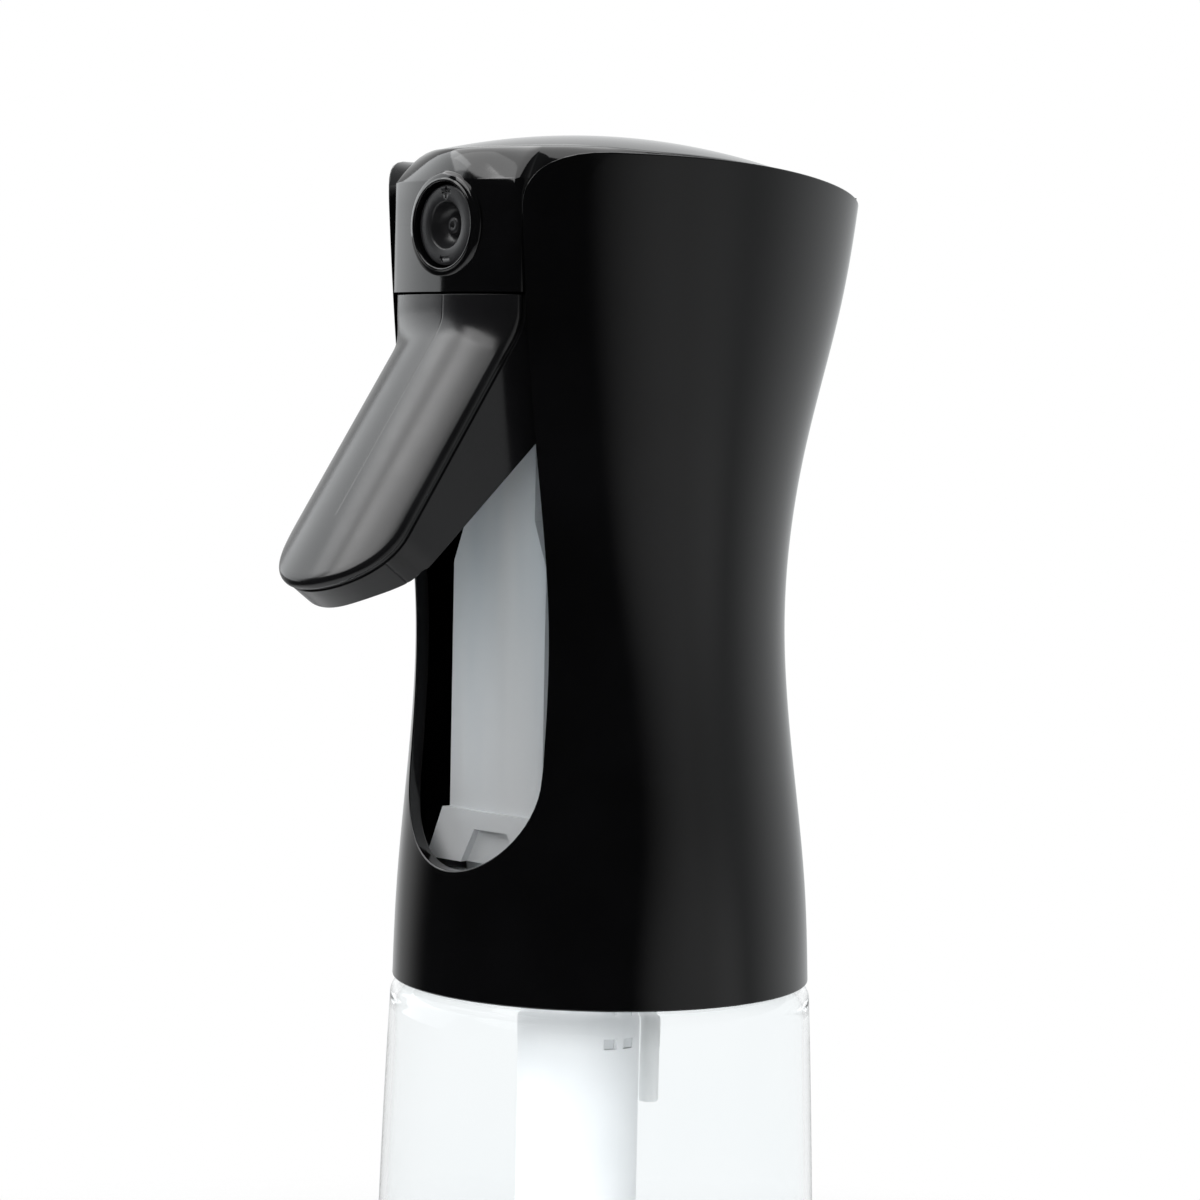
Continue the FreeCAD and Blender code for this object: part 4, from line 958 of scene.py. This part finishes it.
def make_world():
    """A white backdrop; in reflections, white cards behind and beside and a dark room in front."""
    world = bpy.data.worlds.new("studio")
    bpy.context.scene.world = world
    world.use_nodes = True
    tree = world.node_tree
    tree.nodes.clear()
    path = node(tree, "ShaderNodeLightPath")
    seen = node(tree, "ShaderNodeMath", operation="MAXIMUM")
    tree.links.new(path.outputs["Is Camera Ray"], seen.inputs[0])
    tree.links.new(path.outputs["Is Transmission Ray"], seen.inputs[1])
    backdrop = node(tree, "ShaderNodeBackground", Strength=1.0)
    backdrop.inputs["Color"].default_value = (1, 1, 1, 1)
    place = node(tree, "ShaderNodeTexCoord")
    facing = aimed(tree, place, (-0.10, 0.995, 0.0))
    ramp = node(tree, "ShaderNodeValToRGB")
    ramp.color_ramp.interpolation = "EASE"
    steps = [(0.0, 0.015), (0.36, 0.02), (0.58, 0.12), (0.80, 0.40), (1.0, 0.74)]
    for position, level in steps[1:-1]:
        ramp.color_ramp.elements.new(position)
    for element, (position, level) in zip(ramp.color_ramp.elements, steps):
        element.position = position
        element.color = (level * 0.97, level * 0.99, level, 1)
    tree.links.new(ranged(tree, facing, 0, 1, -1, 1), ramp.inputs["Fac"])
    light = ramp.outputs["Color"]
    # soft cards: direction, where the glow starts and is full, brightness
    cards = [((0.915, 0.162, -0.370), 0.78, 0.96, 0.42), ((-0.875, 0.235, 0.420), 0.60, 0.95, 0.45)]
    for direction, start, stop, level in cards:
        glow = node(tree, "ShaderNodeMapRange", interpolation_type="SMOOTHSTEP")
        glow.inputs["From Min"].default_value = start
        glow.inputs["From Max"].default_value = stop
        glow.inputs["To Max"].default_value = level
        tree.links.new(aimed(tree, place, direction), glow.inputs["Value"])
        total = node(tree, "ShaderNodeVectorMath", operation="ADD")
        tree.links.new(light, total.inputs[0])
        tree.links.new(glow.outputs["Result"], total.inputs[1])
        light = total.outputs["Vector"]
    room = node(tree, "ShaderNodeBackground", Strength=1.0)
    tree.links.new(light, room.inputs["Color"])
    mix = node(tree, "ShaderNodeMixShader")
    output = node(tree, "ShaderNodeOutputWorld")
    tree.links.new(seen.outputs["Value"], mix.inputs["Fac"])
    tree.links.new(room.outputs["Background"], mix.inputs[1])
    tree.links.new(backdrop.outputs["Background"], mix.inputs[2])
    tree.links.new(mix.outputs["Shader"], output.inputs["Surface"])


def make_lights():
    cool = (0.96, 0.985, 1.0)
    area_light("left_box", (-0.5145, -0.178, 0.475), (-0.0445, -0.007, 0.475), (0.45, 0.52), 1.8, cool)
    area_light("front_box", (-0.315, -0.295, 0.742), (0, -0.04, 0.19), (0.36, 0.30), 0.9)
    area_light("high_strip", (-0.167, -0.464, 0.65), (0, -0.03, 0.235), (0.36, 0.26), 3.4)
    area_light("top_box", (-0.25, -0.02, 0.80), (-0.1, -0.02, 0), (0.9, 0.8), 1.9)
    # these two light the whites and the ground but leave no reflection in the black plastic
    back = area_light("back_box", (-0.66, 0.61, 0.56), (0, 0, 0.24), (0.7, 0.55), 0.9, cool)
    fill = area_light("fill", (0.42, -0.62, 0.40), (0, 0, 0.15), (0.6, 0.6), 2.2)
    back.visible_glossy = fill.visible_glossy = False


for cad_node in frame["nodes"].values():
    paint(cad_node, next(s["material_slot"] for s in frame["record"]["subparts"] if s["node"] == cad_node.name))

make_shroud()
make_head_cover()
make_bezel()
make_insert()
make_trigger()
make_bottle()
make_floor()
make_world()
make_lights()
bpy.context.scene.view_settings.view_transform = "Standard"
bpy.context.scene.view_settings.look = "None"
